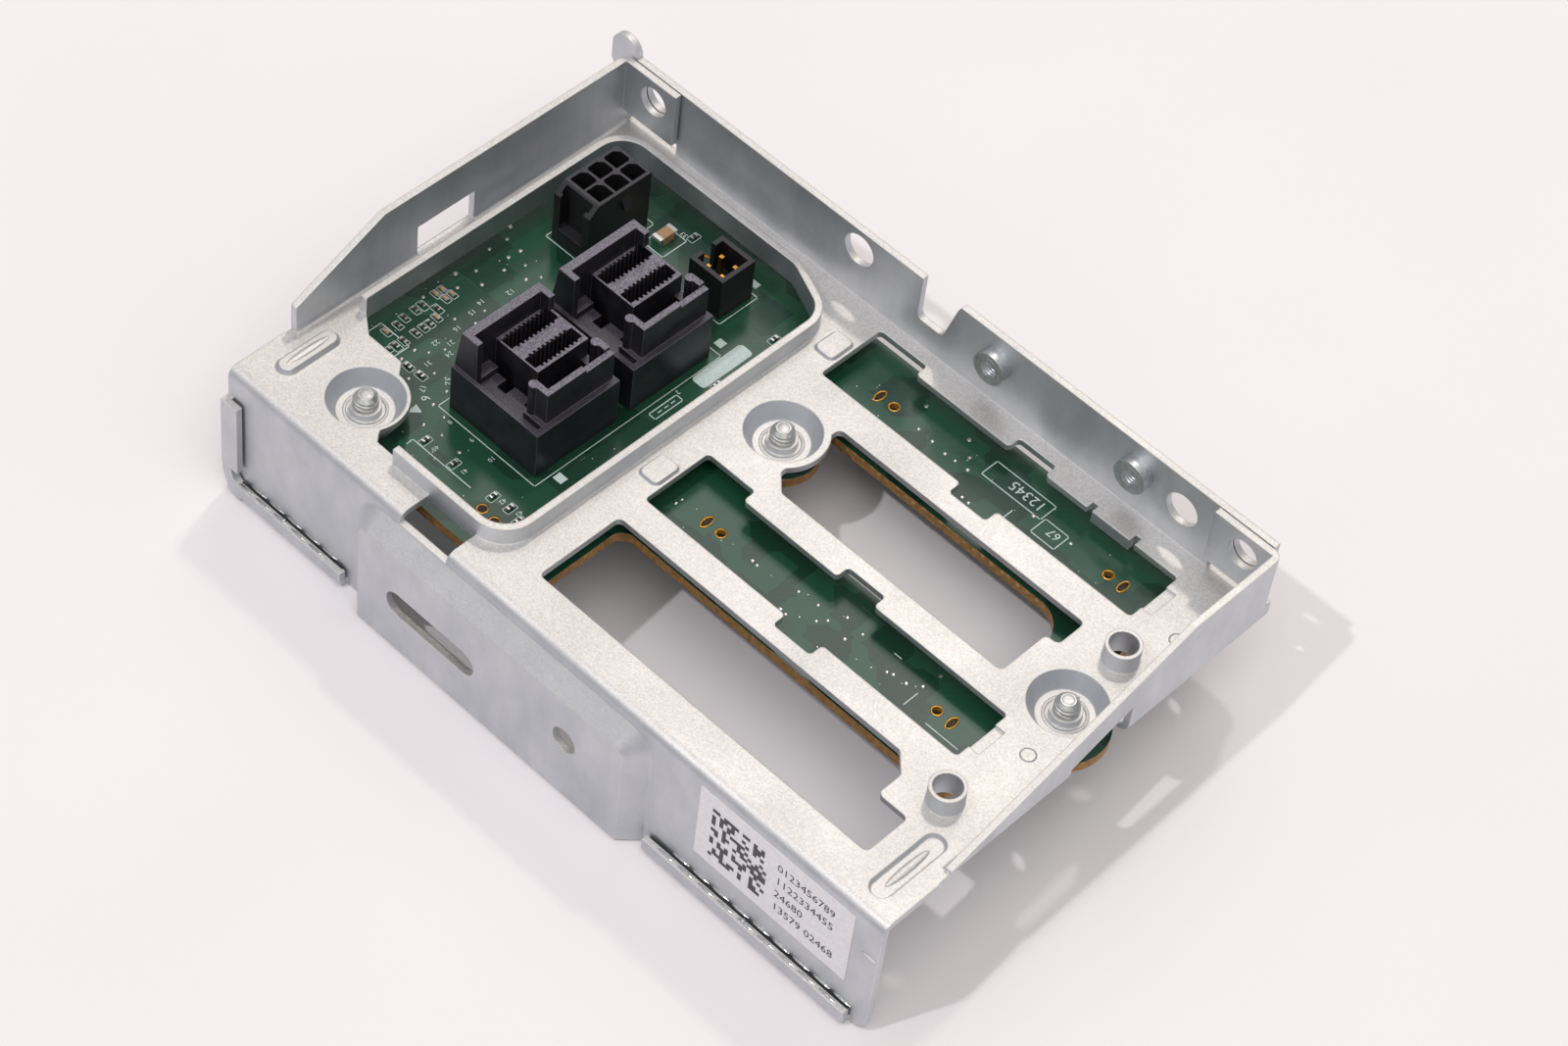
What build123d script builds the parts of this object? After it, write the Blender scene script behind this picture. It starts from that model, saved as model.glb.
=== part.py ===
from build123d import *
import os

# Two-bay drive backplane: a formed sheet-steel tray carrying a circuit board.
# Millimetres. +Z is up, out of the tray; +Y runs from the front wall to the rear wall.
# The origin is the middle of the footprint, on the plane that the part stands on.
os.makedirs("parts", exist_ok=True)

# Overall size
overall_width = 117.9
overall_depth = 73.5
ear_overhang = 2.9
ear_rise = 2.6
ear_width = 4.8
rear_wall_height = 11.5
front_wall_height = 22.0
sheet = 1.0
bend_radius = 0.6

# Front wall
bulge_depth = 2.5
bulge_left_inset = 25.0
bulge_right_inset = 37.8
bulge_drop = 1.8
bulge_corner = 4.0
bulge_taper = 45
bulge_trim_share = 0.41
hem_round_share = 0.9
bend_hole_drop = 1.6
hem_gap = 0.35
hem_height = 2.6
left_hem_end_gap = 2.2
right_hem_start_gap = 0.9
side_hem_width = 3.0
side_hem_low = 5.0
side_hem_high = 17.3
right_hem_inset = 2.6
front_corner_round = 2.5
front_slot_length = 16.0
front_slot_width = 4.2
front_slot_x = 40.8
front_slot_z = 8.7
front_hole_radius = 2.0
front_hole_x = 64.9
front_hole_z = 10.6
bend_hole_length = 8.5
bend_hole_depth = 5.3
bend_hole_x = 32.1

# Drive bays: both bays repeat one pattern
bay_rear_inset = 14.4
bay_left_inset = 50.4
bay_right_inset = 11.3
bay_front_inset = 24.7
strip_depth = 9.2
strip_step = 2.1
strip_step_one = 8.3
strip_notch_start = 24.6
strip_notch_length = 6.3
strip_notch_depth = 2.2
strip_corner = 0.6

# Large windows in front of and between the strips
front_window_margin = 6.5
front_window_depth = 13.8
front_window_short = 7.2
front_window_shoulder = 5.2
front_window_overreach = 2.3
mid_window_gap = 4.4
mid_window_rear_gap = 5.0
mid_window_left = 8.2
mid_window_right = 3.1
mid_window_nib = 2.0
mid_window_nib_share = 0.376
window_corner = 0.8
round_corner = 2.5

# Raised collar around the connector opening
collar_height = 2.8
collar_left_inset = 4.4
collar_right_gap = 6.0
collar_rear_inset = 5.2
collar_front_inset = 6.0
collar_corner = 4.0
collar_cut_length = 8.0
collar_cut_depth = 3.5
screw_lobe_radius = 5.7
screw_land_rear = 7.4
screw_land_corner = 3.0
collar_free_length = 23.0
collar_free_depth = 13.4

# Dimples that carry the board screws
dimple_depth = 2.4
dimple_rim_radius = 5.2
dimple_floor_radius = 3.8
dimple_back_rim = 0.4
dimple_back_floor = 0.6
screw_collar_rise = 1.1
screw_collar_wall = 0.55
dimple_one_x = 15.0
dimple_one_y = 9.9
dimple_two_x = 54.0
dimple_two_gap = 10.7
dimple_three_inset = 7.6
dimple_three_gap = 15.8

# Guide bushings drawn up from the plate
bushing_radius = 2.4
bushing_bore = 1.9
bushing_height = 2.9
bushing_inset = 7.8
bushing_front = 18.9

# Pressed beads and pads in the plate
bead_press = 0.7
bead_width = 3.2
bead_taper = 35
bead_back_taper = 25
left_bead_length = 10.0
left_bead_inset = 4.7
left_bead_front = 9.3
right_bead_length = 12.2
right_bead_inset = 4.4
right_bead_front = 8.8
pad_press = 0.5
pad_taper = 30
pad_length = 4.8
pad_width = 3.6
pad_corner = 1.0
pad_edge = 0.3
pad_front = 4.6
sunk_pad_width = 2.6

# Side walls
left_wall_start = 10.6
left_wall_low = 3.9
left_wall_full = 25.6
left_window_start = 31.5
left_window_length = 10.0
left_window_height = 5.1
right_wall_start = 11.5
right_wall_full = 53.2
right_notch_start = 32.6
right_notch_length = 10.7
right_notch_low = 1.5
right_notch_high = 4.6

# Rear wall
corner_tab_length = 10.3
corner_bend = 1.4
right_corner_cut = 1.6
corner_tab_low = 2.6
corner_gap = 0.2
relief_length = 10.2
relief_height = 2.0
rear_hole_radius = 2.5
rear_hole_inset = 71.7
rear_hole_z = 8.1
rear_second_hole_inset = 15.6
rear_second_hole_z = 6.1
tab_hole_radius = 2.3
left_tab_hole_inset = 6.4
right_tab_hole_inset = 5.1
tab_hole_z = 7.9
nut_inset = 47.1
nut_spacing = 24.0
nut_z = 7.0
nut_outer_radius = 2.5
nut_length = 1.8
nut_thread_radius = 1.25
nut_shank_radius = 1.9
rear_notch_inset = 60.8
rear_notch_width = 6.2
rear_notch_bottom = 4.3
rear_notch_slant = 1.7
clip_inset = 26.6
clip_length = 8.1
clip_relief_width = 0.9
clip_relief_depth = 1.3
clip_drop = 0.9

# Circuit board
board_thickness = 1.6
board_left_gap = 2.6
board_right_gap = 9.7
board_rear_gap = 2.0
board_front_inset = 5.0
board_corner = 2.0
board_arm_margin = 0.4
board_arm_gap = 1.2
board_mid_margin = 0.9
board_mid_left_margin = 2.0
board_mid_shrink = 2.6
board_mid_corner_share = 0.331
board_lobe_radius = 5.2
board_tab_radius = 6.6
board_tab_shift_x = -0.25
board_tab_shift_y = -0.6
pin_hole_share = 0.9
board_hole_clearance = 0.25

# Board screws
screw_radius = 1.5
screw_play = 0.05
screw_head_radius = 2.8
screw_head_height = 1.9
screw_tip = 3.0
screw_recess_radius = 0.9
screw_recess_depth = 1.1
washer_radius = 3.4
washer_thickness = 0.5
washer_play = 0.1

# Upright data ports
port_width = 15.8
port_depth = 14.4
port_pitch = 16.8
port_left_gap = 29.4
port_front = 18.85
port_base_height = 7.8
port_floor = 2.0
port_rim = 0.6
port_recess = 1.2
port_ledge_depth = 4.4
port_pit_size = 1.7
port_pit_x = 5.5
port_ear_radius = 0.7
port_tall_wall = 1.3
port_tall_inset = 1.1
port_tall_top = 14.5
port_tall_return = 2.9
port_low_wall = 0.9
port_low_inset = 0.9
port_low_front = 2.3
port_low_top = 13.0
port_low_return = 2.7
port_low_notch = 5.4
port_low_drop = 0.5
port_tongue_width = 7.8
port_tongue_depth = 8.8
port_tongue_height = 11.05
port_tongue_x = 2.2
port_tongue_y = 5.4
port_slot_width = 2.0
port_slot_length = 8.2
port_slot_spacing = 4.3
port_slot_depth = 6.0
port_slot_rear = 0.35
port_notch_depth = 0.3
port_notch_width = 0.42
contact_pitch = 0.75
contact_count = 9
contact_width = 0.3
contact_thickness = 0.25
contact_inset = 0.6
peg_radius = 0.5
peg_play = 0.1
peg_length = 1.9

# Power header, three by two
power_pitch = 3.0
power_columns = 3
power_rows = 2
power_frame_length = 9.6
power_shoulder_depth = 1.75
power_shoulder_drop = 1.5
power_width = 6.6
power_height = 9.9
power_left_gap = 42.4
power_rear_gap = 10.4
power_cavity = 2.6
power_cavity_cut = 1.0
power_ear = 0.8
power_ear_lip = 0.35
power_ear_lip_depth = 0.45
power_ear_back = 0.3
power_ear_drop = 7.4
power_cavity_depth = 7.6
power_pin = 0.64
power_pin_rise = 6.4
power_latch_width = 1.3
power_latch_reach = 0.9
power_latch_drop = 1.4
power_latch_height = 1.9

# Small signal header, two by two
signal_pitch = 2.54
signal_size = 6.1
signal_height = 7.0
signal_wall = 0.7
signal_floor = 2.2
signal_left_gap = 23.4
signal_rear_gap = 9.3
signal_pin = 0.6
signal_pin_rise = 5.6
pin_tail = 1.2
pin_bore_share = 0.8

# Drive receptacles, hanging below the board
receptacle_length = 45.6
receptacle_width = 6.4
receptacle_height = 8.2
lock_spacing = 42.2
lock_inset_y = 5.4
lock_slot_length = 2.4
lock_slot_width = 0.9
lock_play = 0.1
guide_slot_length = 41.0
guide_slot_width = 4.6
guide_slot_depth = 3.2
key_length = 33.6
key_gap = 2.5
key_depth = 2.8
drive_contact_pitch = 1.27
drive_contact_count = 22
drive_contact_width = 0.5
drive_contact_thickness = 0.25
locate_hole_radius = 0.65
locate_hole_offset = 2.5

# Parts soldered to the board
big_cap_length = 3.2
big_cap_width = 1.6
big_cap_height = 1.4
big_cap_x = 18.15
big_cap_rear_gap = 10.65
chip_length = 1.0
chip_width = 0.5
chip_height = 0.4
filter_length = 7.3
filter_width = 4.3
filter_height = 2.8
filter_left_gap = 9.0
logic_length = 5.0
logic_width = 4.0
logic_height = 1.2
inductor_size = 6.6
inductor_height = 3.0
led_length = 1.6
led_width = 0.8
led_height = 0.7
led_gap = 2.8
lamp_inset = 2.25

# Label on the front wall
label_width = 25.4
label_height = 13.3
label_thickness = 0.1
label_right_inset = 4.2
label_top_drop = 1.9

# Reference planes worked out from the sizes above
left_x = -overall_width / 2 + ear_overhang
right_x = overall_width / 2
bulge_y = -overall_depth / 2
wall_y = bulge_y + bulge_depth
rear_y = overall_depth / 2
plate_z = front_wall_height
under_z = plate_z - sheet
wall_top_z = plate_z + rear_wall_height
board_top_z = plate_z - sheet - dimple_depth
board_low_z = board_top_z - board_thickness
bay_x = left_x + bay_left_inset
bay_end_x = right_x - bay_right_inset
bay_y = wall_y + bay_front_inset
bay_ys = [bay_y, rear_y - bay_rear_inset]
bay_pitch = bay_ys[1] - bay_ys[0]
tab_outer_y = rear_y - sheet - corner_gap
dimple_centres = [
    (left_x + dimple_one_x, wall_y + dimple_one_y),
    (left_x + dimple_two_x, bay_ys[1] - dimple_two_gap),
    (right_x - dimple_three_inset, bay_ys[1] - dimple_three_gap),
]
bushing_centres = [
    (right_x - bushing_inset, wall_y + bushing_front),
    (right_x - bushing_inset, wall_y + bushing_front + bay_pitch),
]
collar_left = left_x + collar_left_inset
collar_right = bay_x - collar_right_gap
collar_front = wall_y + collar_front_inset
collar_rear = rear_y - collar_rear_inset


def box_between(low, high, mode=Mode.ADD):
    """Box from its lowest to its highest corner, for use inside a part block."""
    size = [b - a for a, b in zip(low, high)]
    with Locations([tuple((a + b) / 2 for a, b in zip(low, high))]):
        Box(*size, mode=mode)


def save(part, label):
    part.part.label = label
    export_step(part.part, f"parts/{label}.step")


def strip_points(x, y):
    """Outline of one strip window, with its corner at x, y."""
    step_two = x + strip_notch_start + strip_notch_length
    return [
        (x, y),
        (x + strip_notch_start, y),
        (x + strip_notch_start, y - strip_notch_depth),
        (step_two, y - strip_notch_depth),
        (step_two, y),
        (bay_end_x, y),
        (bay_end_x, y + strip_depth),
        (step_two, y + strip_depth),
        (step_two, y + strip_depth + strip_step),
        (x + strip_notch_start, y + strip_depth + strip_step),
        (x + strip_notch_start, y + strip_depth),
        (x + strip_step_one, y + strip_depth),
        (x + strip_step_one, y + strip_depth + strip_step),
        (x, y + strip_depth + strip_step),
    ]


# Sizes of the two large windows
front_window_y = wall_y + front_window_margin
front_window_rear = front_window_y + front_window_depth
front_window_end = bay_end_x + front_window_overreach
mid_window_y = bay_y + strip_depth + mid_window_gap
mid_window_rear = bay_ys[1] - mid_window_rear_gap
mid_window_x = bay_x + mid_window_left
mid_window_end = bay_end_x - mid_window_right
mid_window_nib_y = mid_window_rear - (mid_window_rear - mid_window_y) * mid_window_nib_share

# Bracket: one piece of sheet steel, with its walls, windows, collar and pressed forms
with BuildPart() as bracket:
    # Blank for the plate and the three upturned walls, rounded along its bends
    box_between((left_x, wall_y, under_z), (right_x, rear_y, wall_top_z))
    fillet(bracket.edges().group_by(Axis.Z)[0].sort_by(Axis.Y)[1:], radius=sheet + bend_radius)
    with BuildSketch(Plane.XZ.offset(-(rear_y - sheet))):
        with BuildLine():
            Polyline(
                (left_x + sheet, plate_z),
                (right_x - sheet, plate_z),
                (right_x - sheet, wall_top_z + sheet),
                (left_x + sheet, wall_top_z + sheet),
                close=True,
            )
        make_face()
        fillet(vertices().group_by(Axis.Y)[0], radius=bend_radius)
    extrude(amount=overall_depth, mode=Mode.SUBTRACT)
    # Side walls slope down to the front
    for x, start, low, full in (
        (left_x - sheet, left_wall_start, left_wall_low, left_wall_full),
        (right_x - sheet * 2, right_wall_start, 0, right_wall_full),
    ):
        with BuildSketch(Plane.YZ.offset(x)):
            with BuildLine():
                Polyline(
                    (wall_y - sheet, plate_z),
                    (wall_y + start, plate_z),
                    (wall_y + start, plate_z + low + bend_radius),
                    (wall_y + full, wall_top_z),
                    (wall_y + full, wall_top_z + sheet),
                    (wall_y - sheet, wall_top_z + sheet),
                    close=True,
                )
            make_face()
        extrude(amount=sheet * 3, mode=Mode.SUBTRACT)
    # Front wall, turned down, with its own rounded bend
    box_between((left_x, wall_y, under_z), (right_x, wall_y + left_wall_start - sheet, plate_z))
    box_between((left_x, wall_y, 0), (right_x, wall_y + sheet, plate_z))
    front_bend = bracket.edges().filter_by(Axis.X)
    front_bend = front_bend.filter_by_position(Axis.Z, plate_z - hem_gap, plate_z + hem_gap)
    fillet(front_bend.sort_by(Axis.Y)[0], radius=sheet + bend_radius)

    # Formed bulge in the front wall: raised face, then its hollow back
    bulge_left = left_x + bulge_left_inset
    bulge_right = right_x - bulge_right_inset
    bulge_top = plate_z - bulge_drop
    inner_trim = sheet * bulge_trim_share
    for depth, trim, mode in ((0, 0, Mode.ADD), (sheet, inner_trim, Mode.SUBTRACT)):
        with BuildSketch(Plane.XZ.offset(-(wall_y + depth))):
            with BuildLine():
                Polyline(
                    (bulge_left + trim, -bulge_top),
                    (bulge_left + trim, bulge_top - trim),
                    (bulge_right - trim, bulge_top - trim),
                    (bulge_right - trim, -bulge_top),
                    close=True,
                )
            make_face()
            fillet(vertices().group_by(Axis.Y)[-1], radius=bulge_corner)
        extrude(amount=bulge_depth, taper=bulge_taper, mode=mode)
    box_between(
        (left_x, bulge_y - sheet, -plate_z * 2), (right_x, wall_y + sheet * 2, 0), mode=Mode.SUBTRACT
    )
    # Hems folded outwards along the lower edge, and up the left end
    hem_face = wall_y - hem_gap - sheet
    hem_spans = [
        (left_x + sheet, bulge_left - left_hem_end_gap),
        (bulge_right + right_hem_start_gap, right_x - right_hem_inset),
    ]
    for start, end in hem_spans:
        with BuildSketch(Plane.YZ.offset(start)):
            with BuildLine():
                Polyline(
                    (wall_y + sheet / 2, 0),
                    (hem_face, 0),
                    (hem_face, hem_height),
                    (wall_y - hem_gap, hem_height),
                    (wall_y - hem_gap, sheet),
                    (wall_y + sheet / 2, sheet),
                    close=True,
                )
            make_face()
            fillet(vertices().group_by(Axis.Y)[0].sort_by(Axis.X)[0], radius=sheet * hem_round_share)
        extrude(amount=end - start)
    box_between((left_x, hem_face, side_hem_low), (left_x + side_hem_width, hem_face + sheet, side_hem_high))
    box_between((left_x, hem_face, side_hem_low), (left_x + sheet, wall_y + sheet / 2, side_hem_high))
    # Rounded lower right corner of the front wall
    low_corner = bracket.edges().filter_by(Axis.Y)
    low_corner = low_corner.filter_by_position(Axis.X, right_x - hem_gap, right_x + hem_gap)
    fillet(low_corner.sort_by(Axis.Z)[0], radius=front_corner_round)
    # Openings in the front wall
    with BuildSketch(Plane.XZ.offset(-(wall_y + sheet))):
        with Locations((left_x + front_slot_x, front_slot_z)):
            SlotOverall(front_slot_length, front_slot_width)
        with Locations((left_x + front_hole_x, front_hole_z)):
            Circle(front_hole_radius)
    extrude(amount=bulge_depth + sheet * 2, mode=Mode.SUBTRACT)
    box_between(
        (left_x + bend_hole_x, wall_y - sheet, plate_z - bend_hole_drop),
        (left_x + bend_hole_x + bend_hole_length, wall_y + bend_hole_depth, plate_z + sheet),
        mode=Mode.SUBTRACT,
    )

    # Strip windows, one for each bay
    for y in bay_ys:
        with BuildSketch(Plane.XY.offset(under_z - sheet)):
            with BuildLine():
                Polyline(*strip_points(bay_x, y), close=True)
            make_face()
            fillet(vertices(), radius=strip_corner)
        extrude(amount=sheet * 3, mode=Mode.SUBTRACT)
    # Clip behind the rear strip: a tab bent down between two short cuts
    clip_y = bay_ys[1] + strip_depth
    clip_left = right_x - clip_inset
    box_between(
        (clip_left, clip_y, under_z - clip_drop), (clip_left + clip_length, clip_y + sheet, under_z)
    )
    for x in (clip_left, clip_left + clip_length - clip_relief_width):
        box_between(
            (x, clip_y - sheet, under_z - clip_drop),
            (x + clip_relief_width, clip_y + clip_relief_depth, plate_z + sheet),
            mode=Mode.SUBTRACT,
        )
    # Front window
    with BuildSketch(Plane.XY.offset(under_z - sheet)):
        with BuildLine():
            Polyline(
                (bay_x, front_window_y),
                (front_window_end, front_window_y),
                (front_window_end, front_window_y + front_window_short),
                (bay_end_x - front_window_shoulder / 2, front_window_y + front_window_short),
                (bay_end_x - front_window_shoulder / 2, front_window_rear - front_window_shoulder / 2),
                (bay_end_x - front_window_shoulder, front_window_rear),
                (bay_x, front_window_rear),
                close=True,
            )
        make_face()
        fillet(vertices(), radius=window_corner)
    extrude(amount=sheet * 3, mode=Mode.SUBTRACT)
    # Middle window, shaped around the two dimples beside it
    with BuildSketch(Plane.XY.offset(under_z - sheet)):
        with BuildLine():
            Polyline(
                (mid_window_x + round_corner, mid_window_y),
                (mid_window_end - mid_window_nib, mid_window_y),
                (mid_window_end - mid_window_nib, mid_window_nib_y),
                (mid_window_end, mid_window_nib_y),
                (mid_window_end, mid_window_rear),
                (mid_window_x, mid_window_rear),
                (mid_window_x, mid_window_y + round_corner),
                close=True,
            )
        make_face()
        fillet(vertices(), radius=window_corner)
        with Locations(dimple_centres[1]):
            Circle(dimple_rim_radius + sheet, mode=Mode.SUBTRACT)
    extrude(amount=sheet * 3, mode=Mode.SUBTRACT)

    # Connector opening, with its collar turned up around it
    with BuildSketch(mode=Mode.PRIVATE) as opening:
        with BuildLine():
            Polyline(
                (collar_left, collar_front),
                (collar_right, collar_front),
                (collar_right, collar_rear - collar_cut_depth),
                (collar_right - collar_cut_length, collar_rear),
                (collar_left, collar_rear),
                close=True,
            )
        make_face()
        fillet(vertices(), radius=collar_corner)
    land_x, land_y = dimple_centres[0]
    with BuildSketch(mode=Mode.PRIVATE) as screw_land:
        with BuildLine():
            Polyline(
                (collar_left - sheet, collar_front - sheet),
                (land_x + screw_land_rear, collar_front - sheet),
                (land_x + screw_lobe_radius, land_y - screw_land_corner),
                (land_x, land_y + screw_lobe_radius),
                (land_x - screw_land_corner / 2, land_y + screw_land_rear),
                (collar_left + screw_land_corner, land_y + screw_land_rear),
                (collar_left - sheet, land_y + screw_land_rear + screw_land_corner),
                close=True,
            )
        make_face()
        with Locations((land_x, land_y)):
            Circle(screw_lobe_radius)
    with BuildSketch(Plane.XY.offset(under_z)):
        add(opening.sketch)
        offset(amount=sheet)
        with Locations((collar_left - sheet * 2, collar_front - sheet * 2)):
            Rectangle(
                collar_free_length,
                collar_free_depth + sheet * 2,
                align=(Align.MIN, Align.MIN),
                mode=Mode.SUBTRACT,
            )
    extrude(amount=sheet + collar_height)
    with BuildSketch(Plane.XY.offset(under_z - sheet)):
        add(opening.sketch)
        add(screw_land.sketch, mode=Mode.SUBTRACT)
    extrude(amount=sheet * 3 + collar_height, mode=Mode.SUBTRACT)

    # Dimples, each with a threaded collar in its floor
    for centre in dimple_centres:
        with BuildSketch(Plane.XY.offset(plate_z - sheet)):
            with Locations(centre):
                Circle(dimple_rim_radius + dimple_back_rim)
        with BuildSketch(Plane.XY.offset(plate_z - sheet - dimple_depth)):
            with Locations(centre):
                Circle(dimple_floor_radius + dimple_back_floor)
        loft()
        with BuildSketch(Plane.XY.offset(plate_z)):
            with Locations(centre):
                Circle(dimple_rim_radius)
        with BuildSketch(Plane.XY.offset(plate_z - dimple_depth)):
            with Locations(centre):
                Circle(dimple_floor_radius)
        loft(mode=Mode.SUBTRACT)
        with BuildSketch(Plane.XY.offset(plate_z - dimple_depth)):
            with Locations(centre):
                Circle(screw_radius + screw_play + screw_collar_wall)
        extrude(amount=screw_collar_rise)
        with BuildSketch(Plane.XY.offset(plate_z - dimple_depth - sheet * 2)):
            with Locations(centre):
                Circle(screw_radius + screw_play)
        extrude(amount=sheet * 3 + screw_collar_rise, mode=Mode.SUBTRACT)

    # Guide bushings
    for centre in bushing_centres:
        with BuildSketch(Plane.XY.offset(plate_z)):
            with Locations(centre):
                Circle(bushing_radius)
        extrude(amount=bushing_height)
        with BuildSketch(Plane.XY.offset(under_z - sheet)):
            with Locations(centre):
                Circle(bushing_bore)
        extrude(amount=sheet * 2 + bushing_height + sheet, mode=Mode.SUBTRACT)

    # Beads: the left one stands up, the right one is sunk
    left_bead = (left_x + left_bead_inset, wall_y + left_bead_front)
    right_bead = (right_x - right_bead_inset, wall_y + right_bead_front)
    with BuildSketch(Plane.XY.offset(plate_z)):
        with Locations(left_bead):
            SlotOverall(left_bead_length, bead_width, rotation=90)
    extrude(amount=bead_press, taper=bead_taper)
    with BuildSketch(Plane.XY.offset(under_z)):
        with Locations(left_bead):
            SlotOverall(left_bead_length - sheet, bead_width - sheet, rotation=90)
    extrude(amount=bead_press, taper=bead_back_taper, mode=Mode.SUBTRACT)
    with BuildSketch(Plane.XY.offset(under_z)):
        with Locations(right_bead):
            SlotOverall(right_bead_length, bead_width, rotation=90)
    extrude(amount=-bead_press, taper=bead_taper)
    with BuildSketch(Plane.XY.offset(plate_z)):
        with Locations(right_bead):
            SlotOverall(right_bead_length, bead_width, rotation=90)
    extrude(amount=-bead_press, taper=bead_back_taper, mode=Mode.SUBTRACT)
    # Pads at both ends of each strip window: raised on the left, sunk on the right
    for y in bay_ys:
        with BuildSketch(Plane.XY.offset(plate_z)):
            with Locations((bay_x - pad_edge - pad_width / 2, y + pad_front)):
                RectangleRounded(pad_width, pad_length, pad_corner)
        extrude(amount=pad_press, taper=pad_taper)
        with BuildSketch(Plane.XY.offset(under_z)):
            with Locations((bay_x - pad_edge - pad_width / 2, y + pad_front)):
                RectangleRounded(pad_width - sheet, pad_length - sheet, pad_corner / 2)
        extrude(amount=pad_press, mode=Mode.SUBTRACT)
        with BuildSketch(Plane.XY.offset(under_z)):
            with Locations((bay_end_x, y + pad_front)):
                Rectangle(sunk_pad_width, pad_length, align=(Align.MIN, Align.CENTER))
        extrude(amount=-pad_press)
        with BuildSketch(Plane.XY.offset(plate_z)):
            with Locations((bay_end_x - sheet, y + pad_front)):
                Rectangle(sunk_pad_width, pad_length, align=(Align.MIN, Align.CENTER))
        extrude(amount=-pad_press, mode=Mode.SUBTRACT)

    # Window low in the left wall, and the slanted notch in the right wall
    window_y = wall_y + left_window_start
    box_between(
        (left_x - sheet, window_y, plate_z),
        (left_x + sheet * 1.5, window_y + left_window_length, plate_z + left_window_height),
        mode=Mode.SUBTRACT,
    )
    notch_y = wall_y + right_notch_start
    with BuildSketch(Plane.YZ.offset(right_x - sheet * 2)):
        with BuildLine():
            Polyline(
                (notch_y, under_z - sheet),
                (notch_y, plate_z + right_notch_low),
                (notch_y + right_notch_length, plate_z + right_notch_high),
                (notch_y + right_notch_length, under_z - sheet),
                close=True,
            )
        make_face()
    extrude(amount=sheet * 3, mode=Mode.SUBTRACT)

    # Tabs folded from the side walls along the inside of the rear wall
    box_between(
        (right_x - right_corner_cut, tab_outer_y, under_z - sheet),
        (right_x + sheet, rear_y + sheet, wall_top_z + sheet),
        mode=Mode.SUBTRACT,
    )
    box_between(
        (left_x - sheet, tab_outer_y, plate_z + bend_radius),
        (left_x + sheet + bend_radius, rear_y - sheet, wall_top_z + sheet),
        mode=Mode.SUBTRACT,
    )
    for x, direction, hole_inset in (
        (left_x, 1, left_tab_hole_inset),
        (right_x, -1, right_tab_hole_inset),
    ):
        tab_end = x + direction * corner_tab_length
        low_x = min(x, tab_end)
        box_between(
            (low_x, tab_outer_y - sheet, plate_z + corner_tab_low),
            (low_x + corner_tab_length, tab_outer_y, wall_top_z),
        )
        with BuildSketch(Plane.XZ.offset(-(rear_y + sheet))):
            with Locations((x + direction * hole_inset, plate_z + tab_hole_z)):
                Circle(tab_hole_radius)
        extrude(amount=sheet * 5, mode=Mode.SUBTRACT)
        relief_end = x + direction * relief_length
        box_between(
            (min(x + direction * sheet, relief_end), rear_y - sheet * 1.5, plate_z),
            (max(x + direction * sheet, relief_end), rear_y + sheet, plate_z + relief_height),
            mode=Mode.SUBTRACT,
        )
        # Rounded bend between the side wall and its tab
        bend_x = x + direction * corner_bend
        bend_y = tab_outer_y - corner_bend
        arc_reach = corner_bend / 2**0.5
        with BuildSketch(Plane.XY.offset(plate_z + corner_tab_low)):
            with BuildLine():
                Line((x, bend_y), (x - direction * corner_gap, tab_outer_y + corner_gap / 2))
                Line((x - direction * corner_gap, tab_outer_y + corner_gap / 2), (bend_x, tab_outer_y))
                ThreePointArc(
                    (bend_x, tab_outer_y), (bend_x - direction * arc_reach, bend_y + arc_reach), (x, bend_y)
                )
            make_face()
        extrude(amount=rear_wall_height, mode=Mode.SUBTRACT)
    # Ear on the rear wall, past the left wall
    with BuildSketch(Plane.XZ.offset(-rear_y)):
        with BuildLine():
            ear_left = left_x - ear_overhang
            ear_right = ear_left + ear_width
            ear_top = wall_top_z + ear_rise
            ear_round = (ear_right - ear_left) / 2
            Polyline(
                (ear_right, ear_top - ear_round),
                (ear_right, plate_z + relief_height + sheet),
                (left_x + sheet, plate_z + relief_height + sheet),
                (ear_left, wall_top_z - ear_rise),
                (ear_left, ear_top - ear_round),
            )
            ThreePointArc(
                (ear_left, ear_top - ear_round),
                (ear_left + ear_round, ear_top),
                (ear_right, ear_top - ear_round),
            )
        make_face()
    extrude(amount=sheet)
    # Round holes, nut holes and the slanted notch in the rear wall
    nut_centres = [(right_x - inset, plate_z + nut_z) for inset in (nut_inset, nut_inset - nut_spacing)]
    notch_left = right_x - rear_notch_inset
    with BuildSketch(Plane.XZ.offset(-(rear_y + sheet))):
        with Locations((right_x - rear_hole_inset, plate_z + rear_hole_z)):
            Circle(rear_hole_radius)
        with Locations((right_x - rear_second_hole_inset, plate_z + rear_second_hole_z)):
            Circle(rear_hole_radius)
        with Locations(*nut_centres):
            Circle(nut_shank_radius)
    extrude(amount=sheet * 2.5, mode=Mode.SUBTRACT)
    with BuildSketch(Plane.XZ.offset(-(rear_y + sheet))):
        with BuildLine():
            Polyline(
                (notch_left, wall_top_z + sheet),
                (notch_left, plate_z + rear_notch_bottom),
                (notch_left + rear_notch_width - rear_notch_slant, plate_z + rear_notch_bottom),
                (notch_left + rear_notch_width, wall_top_z - sheet),
                (notch_left + rear_notch_width + sheet, wall_top_z + sheet),
                close=True,
            )
        make_face()
        fillet(vertices().group_by(Axis.Y)[0], radius=sheet)
    extrude(amount=sheet * 3, mode=Mode.SUBTRACT)
save(bracket, "bracket")

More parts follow.
